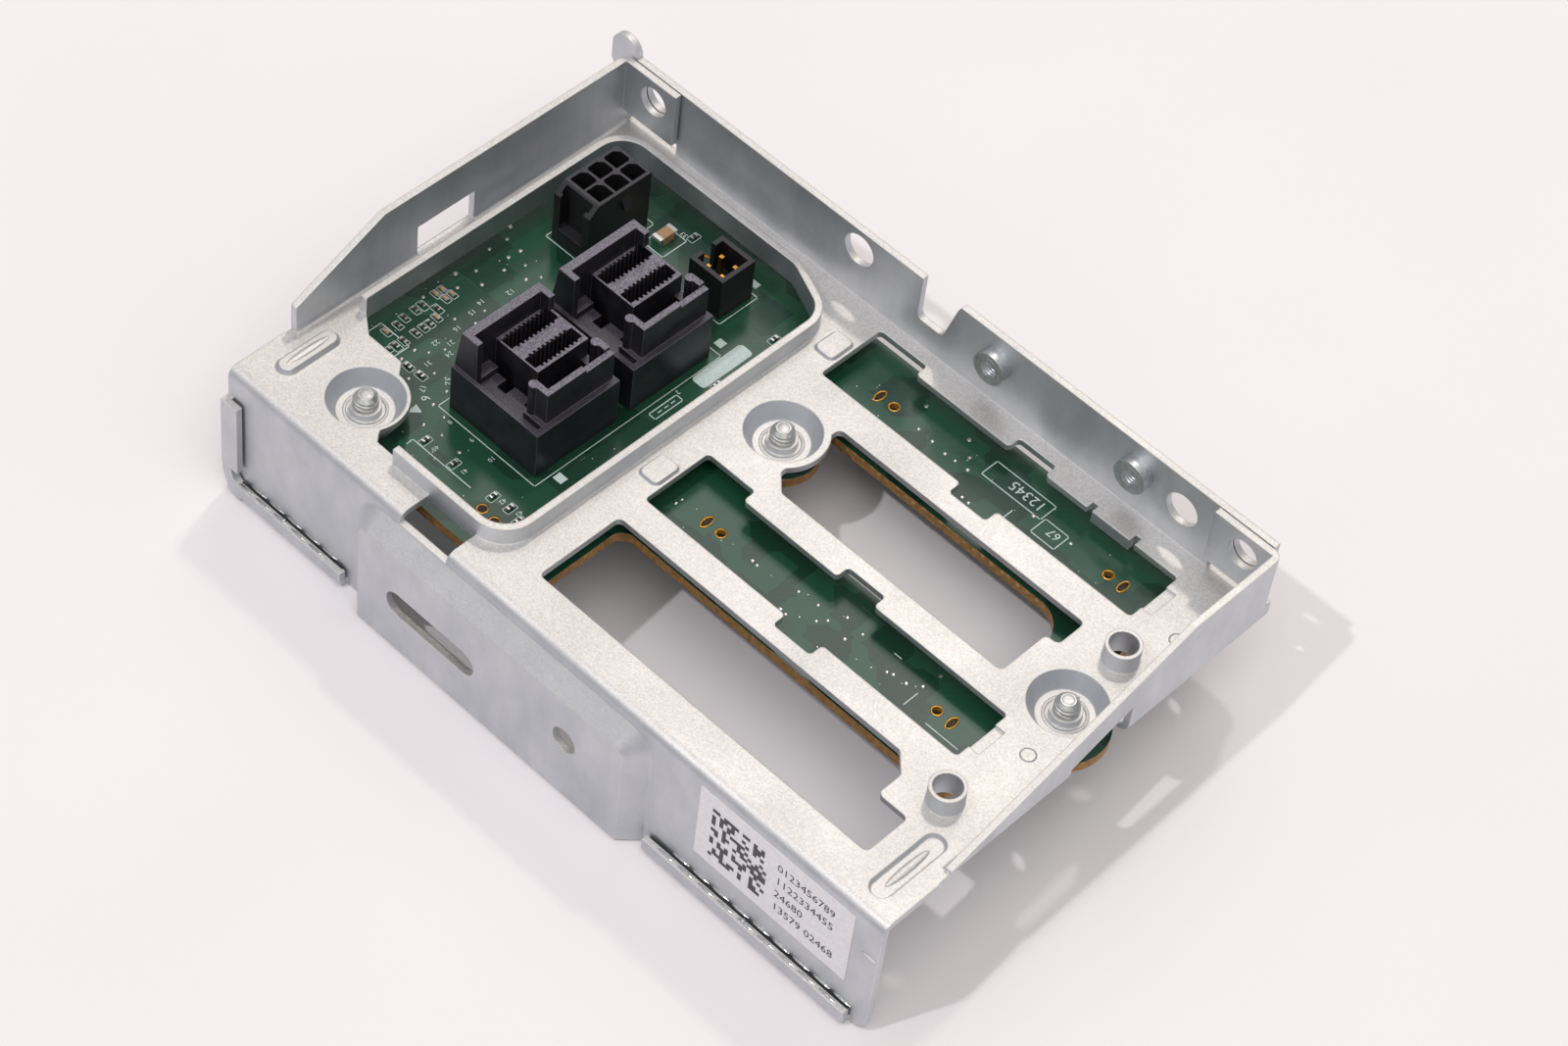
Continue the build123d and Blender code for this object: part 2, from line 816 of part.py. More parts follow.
# Clinch nuts pressed into the rear wall from the inside
with BuildPart() as clinch_nuts:
    with BuildSketch(Plane.XZ.offset(-(rear_y - sheet))):
        with Locations(*nut_centres):
            Circle(nut_outer_radius)
    extrude(amount=nut_length)
    with BuildSketch(Plane.XZ.offset(-rear_y)):
        with Locations(*nut_centres):
            Circle(nut_shank_radius)
    extrude(amount=sheet)
    with BuildSketch(Plane.XZ.offset(-rear_y)):
        with Locations(*nut_centres):
            Circle(nut_thread_radius)
    extrude(amount=sheet + nut_length, mode=Mode.SUBTRACT)
save(clinch_nuts, "clinch_nuts")

# Circuit board outline and cut-outs
board_left = left_x + board_left_gap
board_right = right_x - board_right_gap
board_front = wall_y + board_front_inset
board_rear = rear_y - board_rear_gap
arm_front = front_window_rear + board_arm_gap
mid_low = mid_window_y - board_mid_margin
mid_high = mid_window_rear + board_mid_margin
mid_left = mid_window_x - board_mid_left_margin
mid_right = mid_window_end - board_mid_shrink
lamp_x = board_right - lamp_inset
receptacle_centre_x = lamp_x - led_gap - receptacle_length / 2
lock_xs = [receptacle_centre_x - lock_spacing / 2, receptacle_centre_x + lock_spacing / 2]
lock_ys = [y + lock_inset_y for y in bay_ys]
locate_xs = [lock_xs[0] + locate_hole_offset, lock_xs[1] - locate_hole_offset]
port_xs = left_x + bay_left_inset - port_left_gap
port_ys = [wall_y + port_front, wall_y + port_front + port_pitch]
power_x = bay_x - power_left_gap
power_length = power_frame_length + power_shoulder_depth
power_y = rear_y - power_rear_gap - power_length
power_mid_y = power_y + power_shoulder_depth + power_frame_length / 2
signal_x = bay_x - signal_left_gap
signal_y = rear_y - signal_rear_gap - signal_size
peg_points = [
    (port_xs + px, y + py)
    for y in port_ys
    for px, py in ((port_floor, port_floor), (port_width - port_floor, port_depth - port_floor))
]
power_pins = [
    (power_x + (power_width + (2 * row - 1) * power_pitch) / 2, power_mid_y + column * power_pitch)
    for row in range(power_rows)
    for column in range(-1, power_columns - 1)
]
signal_pins = [
    (signal_x + (signal_size + i * signal_pitch) / 2, signal_y + (signal_size + j * signal_pitch) / 2)
    for i in (-1, 1)
    for j in (-1, 1)
]
with BuildPart() as board:
    with BuildSketch(Plane.XY.offset(board_low_z)):
        with BuildLine():
            Polyline(
                (board_left, board_front),
                (bay_x - board_arm_margin, board_front),
                (bay_x - board_arm_margin, arm_front),
                (board_right, arm_front),
                (board_right, board_rear),
                (board_left, board_rear),
                close=True,
            )
        make_face()
        fillet(vertices(), radius=board_corner)
        with Locations(dimple_centres[2]):
            Circle(board_lobe_radius)
        with Locations((dimple_centres[2][0] + board_tab_shift_x, dimple_centres[2][1] + board_tab_shift_y)):
            Circle(board_tab_radius)
        with BuildLine():
            Polyline(
                (mid_left, mid_low),
                (mid_right, mid_low),
                (mid_right, mid_high),
                (mid_left, mid_high),
                close=True,
            )
        make_face(mode=Mode.SUBTRACT)
        with Locations(dimple_centres[1]):
            Circle(board_lobe_radius)
    extrude(amount=board_thickness)
    mid_corners = (
        board.edges()
        .filter_by(Axis.Z)
        .filter_by(lambda e: abs(e.center().X - mid_right) < board_hole_clearance)
        .filter_by(lambda e: mid_low - sheet < e.center().Y < mid_high + sheet)
    )
    fillet(mid_corners, radius=(mid_high - mid_low) * board_mid_corner_share)
    # Screw holes, lock slots, locating holes, and holes for the pins and pegs
    hole_groups = (
        (dimple_centres, screw_radius + board_hole_clearance),
        ([(x, y) for x in locate_xs for y in lock_ys], locate_hole_radius),
        (peg_points, peg_radius + peg_play),
        (power_pins + signal_pins, power_pin * pin_hole_share),
    )
    for points, radius in hole_groups:
        with BuildSketch(Plane.XY.offset(board_low_z)):
            with Locations(*points):
                Circle(radius)
        extrude(amount=board_thickness, mode=Mode.SUBTRACT)
    with BuildSketch(Plane.XY.offset(board_low_z)):
        with Locations(*[(x, y) for x in lock_xs for y in lock_ys]):
            SlotOverall(lock_slot_length, lock_slot_width, rotation=90)
    extrude(amount=board_thickness, mode=Mode.SUBTRACT)
save(board, "circuit_board")

# Board screws, driven up from below into the dimple collars
with BuildPart() as screws:
    head_top_z = board_low_z - washer_thickness
    with BuildSketch(Plane.XY.offset(head_top_z - screw_head_height)):
        with Locations(*dimple_centres):
            Circle(screw_head_radius)
    extrude(amount=screw_head_height)
    fillet(screws.edges().filter_by(GeomType.CIRCLE).group_by(Axis.Z)[0], radius=screw_head_height / 3)
    with BuildSketch(Plane.XY.offset(head_top_z)):
        with Locations(*dimple_centres):
            Circle(screw_radius)
    extrude(amount=plate_z - dimple_depth + screw_tip - head_top_z)
    chamfer(screws.edges().filter_by(GeomType.CIRCLE).group_by(Axis.Z)[-1], length=screw_radius / 3)
    with BuildSketch(Plane.XY.offset(head_top_z - screw_head_height)):
        with Locations(*dimple_centres):
            RegularPolygon(screw_recess_radius, 6)
    extrude(amount=screw_recess_depth, mode=Mode.SUBTRACT)
save(screws, "board_screws")

with BuildPart() as washers:
    with BuildSketch(Plane.XY.offset(board_low_z - washer_thickness)):
        with Locations(*dimple_centres):
            Circle(washer_radius)
            Circle(screw_radius + washer_play, mode=Mode.SUBTRACT)
    extrude(amount=washer_thickness)
save(washers, "board_washers")

# Data ports: base block, a tall and a low shroud wall above it, and the contact tongue
port_slot_xs = [
    port_tongue_x + port_tongue_width / 2 - port_slot_spacing / 2,
    port_tongue_x + port_tongue_width / 2 + port_slot_spacing / 2,
]
port_slot_y = port_tongue_y + port_tongue_depth - port_slot_rear - port_slot_length
for index, port_y in enumerate(port_ys, start=1):
    with BuildPart() as port:
        x0, y0, z0 = port_xs, port_y, board_top_z
        x1, y1 = x0 + port_width, y0 + port_depth
        base_z = z0 + port_base_height
        box_between((x0, y0, z0), (x1, y1, base_z))
        # Tall wall on the left and low wall on the right, each with a short return at both ends
        tall_x = x0 + port_tall_inset
        tall_y = y0 + port_tall_inset / 2
        tall_end_y = y1 - port_tall_inset / 2
        tall_top_z = z0 + port_tall_top
        with BuildSketch(Plane.XZ.offset(-tall_end_y)):
            with BuildLine():
                Polyline(
                    (x0, base_z),
                    (tall_x, tall_top_z),
                    (tall_x + port_tall_wall, tall_top_z),
                    (tall_x + port_tall_wall, z0 + port_floor),
                    (x0, z0 + port_floor),
                    close=True,
                )
            make_face()
        extrude(amount=tall_end_y - tall_y)
        low_x = x1 - port_low_inset
        low_y = y0 + port_low_front
        low_end_y = y1 - port_low_inset / 2
        low_top_z = z0 + port_low_top
        box_between((low_x - port_low_wall, low_y, z0), (low_x, low_end_y, low_top_z))
        for y, far_y in ((tall_y, tall_y + port_low_wall), (tall_end_y - port_low_wall, tall_end_y)):
            box_between((tall_x, y, z0), (tall_x + port_tall_return, far_y, tall_top_z))
        for y, far_y in ((low_y, low_y + port_low_wall), (low_end_y - port_low_wall, low_end_y)):
            box_between((low_x - port_low_return, y, z0), (low_x, far_y, low_top_z))
        box_between(
            (low_x - port_low_wall, y1 - port_low_notch, low_top_z - port_low_drop),
            (low_x + sheet, y1, low_top_z + sheet),
            mode=Mode.SUBTRACT,
        )
        # Rounded ears at the free ends of the low returns
        with BuildSketch(Plane.XY.offset(base_z - port_recess)):
            with Locations(
                (low_x - port_low_return, low_y + port_low_wall - port_ear_radius),
                (low_x - port_low_return, low_end_y - port_ear_radius),
            ):
                Circle(port_ear_radius)
        extrude(amount=low_top_z - base_z + port_recess)
        # Shallow recess inside the front rim
        ledge_y = y0 + port_ledge_depth
        box_between(
            (tall_x + port_tall_return, y0 + port_rim, base_z - port_recess),
            (low_x - port_low_return - port_ear_radius, ledge_y, base_z + sheet),
            mode=Mode.SUBTRACT,
        )
        box_between(
            (low_x - port_low_return - port_ear_radius, y0 + port_rim, base_z - port_recess),
            (low_x, low_y - port_ear_radius, base_z + sheet),
            mode=Mode.SUBTRACT,
        )
        # Room for the plug, down into the base, and the pit in front of the tongue
        tongue_end_x = x0 + port_tongue_x + port_tongue_width
        for low, high in (
            ((tall_x + port_tall_wall, ledge_y), (low_x - port_low_wall, low_end_y - port_low_wall)),
            ((tongue_end_x, low_y + port_low_wall), (low_x - port_low_wall, ledge_y)),
            (
                (x0 + port_pit_x, ledge_y - port_pit_size),
                (x0 + port_pit_x + port_pit_size, ledge_y),
            ),
        ):
            box_between((*low, z0 + port_floor), (*high, base_z + sheet / 10), mode=Mode.SUBTRACT)
        # Tongue with two contact slots
        tongue_top_z = z0 + port_tongue_height
        slot_low_z = tongue_top_z - port_slot_depth
        box_between(
            (x0 + port_tongue_x, y0 + port_tongue_y, z0),
            (tongue_end_x, y0 + port_tongue_y + port_tongue_depth, tongue_top_z),
        )
        slot_end_y = y0 + port_slot_y + port_slot_length
        for slot_x in port_slot_xs:
            box_between(
                (x0 + slot_x - port_slot_width / 2, y0 + port_slot_y, slot_low_z),
                (x0 + slot_x + port_slot_width / 2, slot_end_y, tongue_top_z + sheet),
                mode=Mode.SUBTRACT,
            )
        # Comb of channels, one across each slot for every pair of contacts
        comb_y = y0 + port_slot_y + port_slot_length / 2 - contact_pitch * (contact_count - 1) / 2
        comb_ys = [comb_y + i * contact_pitch for i in range(contact_count)]
        with BuildSketch(Plane.XY.offset(slot_low_z)):
            with Locations(*[(x0 + x, y) for x in port_slot_xs for y in comb_ys]):
                Rectangle(port_slot_width + port_notch_depth * 2, port_notch_width)
        extrude(amount=port_slot_depth, mode=Mode.SUBTRACT)
        with BuildSketch(Plane.XY.offset(z0 - peg_length)):
            with Locations(*[p for p in peg_points if y0 < p[1] < y0 + port_depth]):
                Circle(peg_radius)
        extrude(amount=peg_length)
    save(port, f"data_port_{index}_housing")

    # Two rows of spring contacts in each slot
    with BuildPart() as port_contacts:
        contact_top_z = tongue_top_z - contact_inset
        points = [
            (
                x0 + slot_x + side * (port_slot_width / 2 + port_notch_depth - contact_thickness / 2),
                y,
            )
            for slot_x in port_slot_xs
            for side in (-1, 1)
            for y in comb_ys
        ]
        with BuildSketch(Plane.XY.offset(slot_low_z)):
            with Locations(*points):
                Rectangle(contact_thickness, contact_width)
        extrude(amount=contact_top_z - slot_low_z)
    save(port_contacts, f"data_port_{index}_contacts")

# Power header: housing with six cells, a latch ramp and shoulders, and its pins
with BuildPart() as power_housing:
    power_top_z = board_top_z + power_height
    with BuildSketch(Plane.YZ.offset(power_x)):
        with BuildLine():
            Polyline(
                (power_y, board_top_z),
                (power_y + power_length, board_top_z),
                (power_y + power_length, power_top_z),
                (power_y + power_shoulder_depth, power_top_z),
                (power_y, power_top_z - power_shoulder_drop),
                close=True,
            )
        make_face()
    extrude(amount=power_width)
    with BuildSketch(Plane.XY.offset(power_top_z - power_cavity_depth)):
        with Locations(*power_pins):
            Rectangle(power_cavity, power_cavity)
            with Locations((-power_cavity / 2, power_cavity / 2)):
                Rectangle(power_cavity_cut, power_cavity_cut, rotation=45, mode=Mode.SUBTRACT)
    extrude(amount=power_cavity_depth, mode=Mode.SUBTRACT)
    # Channel in the front shoulder between two ears, narrower at its mouth
    ear_floor_z = power_top_z - power_ear_drop
    ear_back_y = power_y + power_shoulder_depth - power_ear_back
    channel_cuts = (
        (power_ear, power_y + power_ear_lip_depth),
        (power_ear + power_ear_lip, power_y - sheet),
    )
    for ear, start_y in channel_cuts:
        box_between(
            (power_x + ear, start_y, ear_floor_z),
            (power_x + power_width - ear, ear_back_y, power_top_z + sheet),
            mode=Mode.SUBTRACT,
        )
    with BuildSketch(Plane.XY.offset(board_top_z)):
        with Locations(*power_pins):
            Circle(power_pin * pin_bore_share)
    extrude(amount=power_height, mode=Mode.SUBTRACT)
    latch_top_z = power_top_z - power_latch_drop
    with BuildSketch(Plane.XZ.offset(-(power_mid_y + power_latch_width / 2))):
        with BuildLine():
            Polyline(
                (power_x + power_width, latch_top_z),
                (power_x + power_width + power_latch_reach, latch_top_z - power_latch_height),
                (power_x + power_width, latch_top_z - power_latch_height),
                close=True,
            )
        make_face()
    extrude(amount=power_latch_width)
save(power_housing, "power_header_housing")

with BuildPart() as power_pin_set:
    with BuildSketch(Plane.XY.offset(board_low_z - pin_tail)):
        with Locations(*power_pins):
            Rectangle(power_pin, power_pin)
    extrude(amount=board_thickness + pin_tail + power_pin_rise)
save(power_pin_set, "power_header_pins")

# Signal header: open shroud with four pins
with BuildPart() as signal_housing:
    signal_top_z = board_top_z + signal_height
    box_between(
        (signal_x, signal_y, board_top_z), (signal_x + signal_size, signal_y + signal_size, signal_top_z)
    )
    box_between(
        (signal_x + signal_wall, signal_y + signal_wall, board_top_z + signal_floor),
        (signal_x + signal_size - signal_wall, signal_y + signal_size - signal_wall, signal_top_z + sheet),
        mode=Mode.SUBTRACT,
    )
    box_between(
        (signal_x - signal_wall, signal_y + signal_size / 3, board_top_z + signal_floor),
        (signal_x + signal_wall * 2, signal_y + signal_size * 2 / 3, signal_top_z + sheet),
        mode=Mode.SUBTRACT,
    )
    with BuildSketch(Plane.XY.offset(board_top_z)):
        with Locations(*signal_pins):
            Circle(signal_pin * pin_bore_share)
    extrude(amount=signal_floor, mode=Mode.SUBTRACT)
save(signal_housing, "signal_header_housing")

with BuildPart() as signal_pin_set:
    with BuildSketch(Plane.XY.offset(board_low_z - pin_tail)):
        with Locations(*signal_pins):
            Rectangle(signal_pin, signal_pin)
    extrude(amount=board_thickness + pin_tail + signal_pin_rise)
save(signal_pin_set, "signal_header_pins")

# Drive receptacles: a long keyed housing below the board for each drive
drive_points = [
    receptacle_centre_x + (i - (drive_contact_count - 1) / 2) * drive_contact_pitch
    for i in range(drive_contact_count)
]
for index, lock_y in enumerate(lock_ys, start=1):
    top_z = board_low_z
    low_z = top_z - receptacle_height
    with BuildPart() as receptacle:
        box_between(
            (receptacle_centre_x - receptacle_length / 2, lock_y - receptacle_width / 2, low_z),
            (receptacle_centre_x + receptacle_length / 2, lock_y + receptacle_width / 2, top_z),
        )
        slot_floor_z = low_z + guide_slot_depth
        box_between(
            (receptacle_centre_x - guide_slot_length / 2, lock_y - guide_slot_width / 2, low_z - sheet),
            (receptacle_centre_x + guide_slot_length / 2, lock_y + guide_slot_width / 2, slot_floor_z),
            mode=Mode.SUBTRACT,
        )
        box_between(
            (receptacle_centre_x - key_length / 2, lock_y - key_gap / 2, slot_floor_z - sheet),
            (receptacle_centre_x + key_length / 2, lock_y + key_gap / 2, slot_floor_z + key_depth),
            mode=Mode.SUBTRACT,
        )
        with BuildSketch(Plane.XY.offset(board_low_z)):
            with Locations(*[(x, lock_y) for x in locate_xs]):
                Circle(locate_hole_radius - peg_play)
        extrude(amount=board_thickness / 2)
    save(receptacle, f"drive_receptacle_{index}_housing")

    with BuildPart() as receptacle_contacts:
        with BuildSketch(Plane.XY.offset(low_z + guide_slot_depth)):
            with Locations(
                *[
                    (x, lock_y + side * (key_gap - drive_contact_thickness) / 2)
                    for x in drive_points
                    for side in (-1, 1)
                ]
            ):
                Rectangle(drive_contact_width, drive_contact_thickness)
        extrude(amount=key_depth)
    save(receptacle_contacts, f"drive_receptacle_{index}_contacts")

# Board locks of both receptacles, seen in the slots from above
with BuildPart() as board_locks:
    with BuildSketch(Plane.XY.offset(board_low_z)):
        with Locations(*[(x, y) for x in lock_xs for y in lock_ys]):
            Rectangle(lock_slot_width - lock_play * 2, lock_slot_length - lock_slot_width)
    extrude(amount=board_thickness)
save(board_locks, "receptacle_board_locks")

# Large ceramic capacitor beside the power header
with BuildPart() as big_capacitor:
    cap_centre = (left_x + big_cap_x, rear_y - big_cap_rear_gap)
    with BuildSketch(Plane.XY.offset(board_top_z)):
        with Locations(cap_centre):
            RectangleRounded(big_cap_width, big_cap_length, big_cap_height / 8)
    extrude(amount=big_cap_height)
save(big_capacitor, "ceramic_capacitor")

# Small chip parts on the top side, in two groups
chip_groups = {
    "chip_resistors": [
        (8.9, 22.0),
        (8.9, 24.1),
        (8.9, 25.5),
        (8.9, 26.6),
        (5.9, 26.8),
        (6.0, 24.8),
        (6.4, 23.3),
    ],
    "chip_capacitors": [(5.6, 30.7), (5.6, 31.9), (7.0, 31.1), (7.0, 32.3), (8.7, 28.0), (6.3, 21.4)],
}
for label, places in chip_groups.items():
    with BuildPart() as chips:
        with BuildSketch(Plane.XY.offset(board_top_z)):
            with Locations(*[(left_x + x, wall_y + y) for x, y in places]):
                Rectangle(chip_length, chip_width)
        extrude(amount=chip_height)
    save(chips, label)

# Parts on the underside: supply filters, their coil, the logic chip and the drive lamps
filter_xs = [lock_xs[0] - filter_left_gap, lock_xs[0] - filter_left_gap]
with BuildPart() as filters:
    with BuildSketch(Plane.XY.offset(board_low_z - filter_height)):
        with Locations(*zip(filter_xs, lock_ys)):
            Rectangle(filter_width, filter_length)
    extrude(amount=filter_height)
    fillet(filters.edges().filter_by(Axis.Z), radius=chip_width)
save(filters, "supply_filter_capacitors")

with BuildPart() as coil:
    with BuildSketch(Plane.XY.offset(board_low_z - inductor_height)):
        with Locations((power_x + power_width * 1.5, power_mid_y - power_length * 1.5)):
            RectangleRounded(inductor_size, inductor_size, inductor_size / 6)
    extrude(amount=inductor_height)
save(coil, "supply_coil")

with BuildPart() as logic:
    with BuildSketch(Plane.XY.offset(board_low_z - logic_height)):
        with Locations((port_xs + port_width / 2, port_ys[0])):
            Rectangle(logic_length, logic_width)
    extrude(amount=logic_height)
    chamfer(logic.edges().group_by(Axis.Z)[0], length=logic_height / 8)
save(logic, "logic_chip")

with BuildPart() as lamps:
    with BuildSketch(Plane.XY.offset(board_low_z - led_height)):
        with Locations(*[(lamp_x, y + side * led_length) for y in lock_ys for side in (-1, 1)]):
            Rectangle(led_length, led_width)
    extrude(amount=led_height)
save(lamps, "drive_lamps")

# Label stuck to the front wall
with BuildPart() as label:
    label_low_z = plate_z - label_top_drop - label_height
    label_end_x = right_x - label_right_inset
    box_between(
        (label_end_x - label_width, wall_y - label_thickness, label_low_z),
        (label_end_x, wall_y, label_low_z + label_height),
    )
save(label, "front_label")
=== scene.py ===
import math
import random

import bpy
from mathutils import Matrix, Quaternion, Vector


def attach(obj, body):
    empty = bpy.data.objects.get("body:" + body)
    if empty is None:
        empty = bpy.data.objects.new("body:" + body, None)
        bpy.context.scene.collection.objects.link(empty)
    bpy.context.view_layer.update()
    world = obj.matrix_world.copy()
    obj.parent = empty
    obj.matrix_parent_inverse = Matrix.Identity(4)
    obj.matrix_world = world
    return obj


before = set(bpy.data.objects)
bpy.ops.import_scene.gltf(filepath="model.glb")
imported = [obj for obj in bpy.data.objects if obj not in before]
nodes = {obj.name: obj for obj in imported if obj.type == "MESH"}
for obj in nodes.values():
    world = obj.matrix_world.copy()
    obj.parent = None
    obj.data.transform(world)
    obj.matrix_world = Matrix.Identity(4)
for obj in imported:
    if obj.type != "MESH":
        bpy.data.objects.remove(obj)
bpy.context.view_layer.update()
collection = bpy.context.scene.collection
mm = 0.001
print("stage: frame loaded")

# Heights in mm of the faces that the new pieces sit on
level = {"boardTop": 18.6, "boardUnder": 17.0, "plateTop": 22.0}
evenly = (1.0, 1.0, 1.0)
unturned = (0.0, 0.0, 0.0)


def linear(hexColour):
    channels = [int(hexColour[i:i + 2], 16) / 255 for i in (1, 3, 5)]
    return [c / 12.92 if c <= 0.04045 else ((c + 0.055) / 1.055) ** 2.4 for c in channels] + [1.0]


# Adds a node, sets its properties and input values, and links its inputs
def addNode(tree, kind, settings=None, values=None, links=None):
    node = tree.nodes.new(kind)
    for name, value in (settings or {}).items():
        setattr(node, name, value)
    for key, value in (values or {}).items():
        node.inputs[key].default_value = value
    for key, socket in (links or {}).items():
        tree.links.new(socket, node.inputs[key])
    return node


def openMaterial(name):
    material = bpy.data.materials.new(name)
    material.use_nodes = True
    tree = material.node_tree
    tree.nodes.clear()
    return material, tree, addNode(tree, "ShaderNodeTexCoord").outputs["Object"]


# Closes a material: its shader takes the given constants and linked sockets
def closeMaterial(tree, values, links):
    shader = addNode(tree, "ShaderNodeBsdfPrincipled", values=values, links=links)
    addNode(tree, "ShaderNodeOutputMaterial", links={"Surface": shader.outputs[0]})


# A noise whose grain is the given number of millimetres
def grainOf(tree, coords, size, detail=2.0, rough=0.5):
    noise = addNode(tree, "ShaderNodeTexNoise",
                    values={"Scale": 1.0 / (size * mm), "Detail": detail, "Roughness": rough},
                    links={"Vector": coords})
    return noise.outputs["Fac"]


# The first colour where the factor is low, the second where it is high
def between(tree, factor, low, high, first, second):
    ramp = addNode(tree, "ShaderNodeMapRange", values={1: low, 2: high}, links={0: factor})
    return addNode(tree, "ShaderNodeMix", {"data_type": "RGBA"}, {6: linear(first), 7: linear(second)},
                   {0: ramp.outputs[0]}).outputs[2]


# Mixes two colours; a hex colour is set on the socket itself
def layered(tree, factor, under, over):
    values, links = {}, {0: factor}
    for index, colour in ((6, under), (7, over)):
        if isinstance(colour, str):
            values[index] = linear(colour)
        else:
            links[index] = colour
    return addNode(tree, "ShaderNodeMix", {"data_type": "RGBA"}, values, links).outputs[2]


# How far the surface faces up: 1 on top faces, 0 on walls
def facingUp(tree, low, high):
    normal = addNode(tree, "ShaderNodeNewGeometry").outputs["Normal"]
    upward = addNode(tree, "ShaderNodeSeparateXYZ", links={0: normal}).outputs[2]
    return addNode(tree, "ShaderNodeMapRange", values={1: low, 2: high}, links={0: upward}).outputs[0]


# A normal that rounds the edges over the given radius in mm
def roundedNormal(tree, radius):
    return addNode(tree, "ShaderNodeBevel", {"samples": 4}, {"Radius": radius * mm}).outputs[0]


# 1 where the rounded normal turns away from the face's own, 0 on flat faces: the mask for the highlight
# painted along edges, convex and concave alike
def edgeHighlightMask(tree, rounded, low, high):
    flat = addNode(tree, "ShaderNodeNewGeometry").outputs["Normal"]
    turn = addNode(tree, "ShaderNodeVectorMath", {"operation": "DOT_PRODUCT"}, links={0: rounded, 1: flat})
    edgeHighlightShare = addNode(tree, "ShaderNodeMapRange", values={1: low, 2: high, 3: 1.0, 4: 0.0},
                   links={0: turn.outputs[1]})
    return edgeHighlightShare.outputs[0]


# In the looks below a grain is its size in mm, its detail and its roughness, a span is the range of values
# that a change is spread over, and a relief is a bump's strength and its depth in mm
grainSpan = (0.3, 0.7)

# Hot-dip galvanised sheet steel, pressed and folded: matt spangle on top and streaks on the walls. Top faces
# are painted brighter and warmer as lit from above, walls are painted cooler and darker as a painted
# reflection of the dimmer surroundings, and edges are painted paler as highlight
zincLook = {"spangle": (0.28, 4.0, 0.7), "spangleSpan": (0.3, 0.72), "streak": (5.0, 5.0, 0.6),
            "streakScale": (1.0, 1.0, 0.5), "smudge": (14.0, 3.0), "relief": (0.7, 0.04),
            "litTopSpan": (0.55, 0.9), "edge": 0.28, "edgeHighlightSpan": (0.8, 0.99), "edgeHighlightShare": 0.55, "smooth": 0.5,
            "dull": 0.62, "top": "#f1efeb", "litTopDark": "#cfccc7", "wall": "#d6d8dc", "shadedWallDark": "#c4c8cc",
            "edgeHighlight": "#f7f5f1"}


def makeZinc(name, look):
    material, tree, coords = openMaterial(name)
    spangle = grainOf(tree, coords, *look["spangle"])
    stretched = addNode(tree, "ShaderNodeMapping", values={"Scale": look["streakScale"]}, links={0: coords})
    streak = grainOf(tree, stretched.outputs[0], *look["streak"])
    # Painted light: upward faces take the brighter, warmer colour as lit from above, and walls take the
    # cooler, darker one as painted reflection
    top = between(tree, spangle, *look["spangleSpan"], look["litTopDark"], look["top"])
    wall = between(tree, streak, *grainSpan, look["shadedWallDark"], look["wall"])
    rounded = roundedNormal(tree, look["edge"])
    # Painted highlight: a pale colour along the rounded edges
    edgeHighlightShare = edgeHighlightMask(tree, rounded, *look["edgeHighlightSpan"])
    colour = layered(tree, facingUp(tree, *look["litTopSpan"]), wall, top)
    edgeHighlight = addNode(tree, "ShaderNodeMath", {"operation": "MULTIPLY"}, {1: look["edgeHighlightShare"]}, {0: edgeHighlightShare})
    colour = layered(tree, edgeHighlight.outputs[0], colour, look["edgeHighlight"])
    dull = addNode(tree, "ShaderNodeMapRange",
                   values={1: grainSpan[0], 2: grainSpan[1], 3: look["smooth"], 4: look["dull"]},
                   links={0: grainOf(tree, coords, *look["smudge"])})
    strength, depth = look["relief"]
    bump = addNode(tree, "ShaderNodeBump", values={"Strength": strength, "Distance": depth * mm},
                   links={"Height": spangle, "Normal": rounded})
    closeMaterial(tree, {"Metallic": 1.0},
                  {"Base Color": colour, "Roughness": dull.outputs[0], "Normal": bump.outputs[0]})
    return material


# Bright zinc-plated hardware, machined: smoother and more mirror-like than the sheet. Each finish is a
# light tone, a dark tone and a roughness
hardwareLook = {"nut": ("#e2e3e3", "#c3c6c8", 0.42), "screw": ("#d9d9d5", "#b9bbba", 0.46),
                "washer": ("#d5d7d8", "#b5b8ba", 0.36), "turning": (0.5, 3.0), "edge": 0.12,
                "relief": (0.2, 0.02)}


def makeHardware(name, look, finish):
    material, tree, coords = openMaterial(name)
    light, dark, roughness = look[finish]
    turning = grainOf(tree, coords, *look["turning"])
    strength, depth = look["relief"]
    bump = addNode(tree, "ShaderNodeBump", values={"Strength": strength, "Distance": depth * mm},
                   links={"Height": turning, "Normal": roundedNormal(tree, look["edge"])})
    closeMaterial(tree, {"Metallic": 1.0, "Roughness": roughness},
                  {"Base Color": between(tree, turning, *grainSpan, dark, light), "Normal": bump.outputs[0]})
    return material


# FR-4 laminate under a gloss green solder mask: copper areas read lighter, and the cut edges are bare tan
# glass-epoxy with pale dots where plated half-holes are. Copper, traces and dots repeat at real distances in
# mm; a wave texture repeats every 0.314 units at scale 1
boardLook = {"mask": "#15382a", "copper": "#1f4a36", "trace": "#1a4130", "edge": "#b08245",
             "edgeDark": "#86602f", "dot": "#d8b884", "pour": 5.5, "pourSpan": (0.35, 0.42),
             "tracePitch": 0.9, "traceTurn": 45.0,
             "traceSpan": (0.8, 0.95), "traceShare": 0.5, "routed": (9.0,), "routedSpan": (0.5, 0.58),
             "dotPitch": 1.5, "dotJitter": 0.35, "dotSpan": (0.16, 0.24), "dotShare": 0.55,
             "glass": (0.8, 3.0), "glassSpan": (0.35, 0.65), "faceSpan": (0.5, 0.6), "relief": (0.35, 0.03),
             "glossy": 0.2, "sawn": 0.6, "waveRepeat": 0.314}


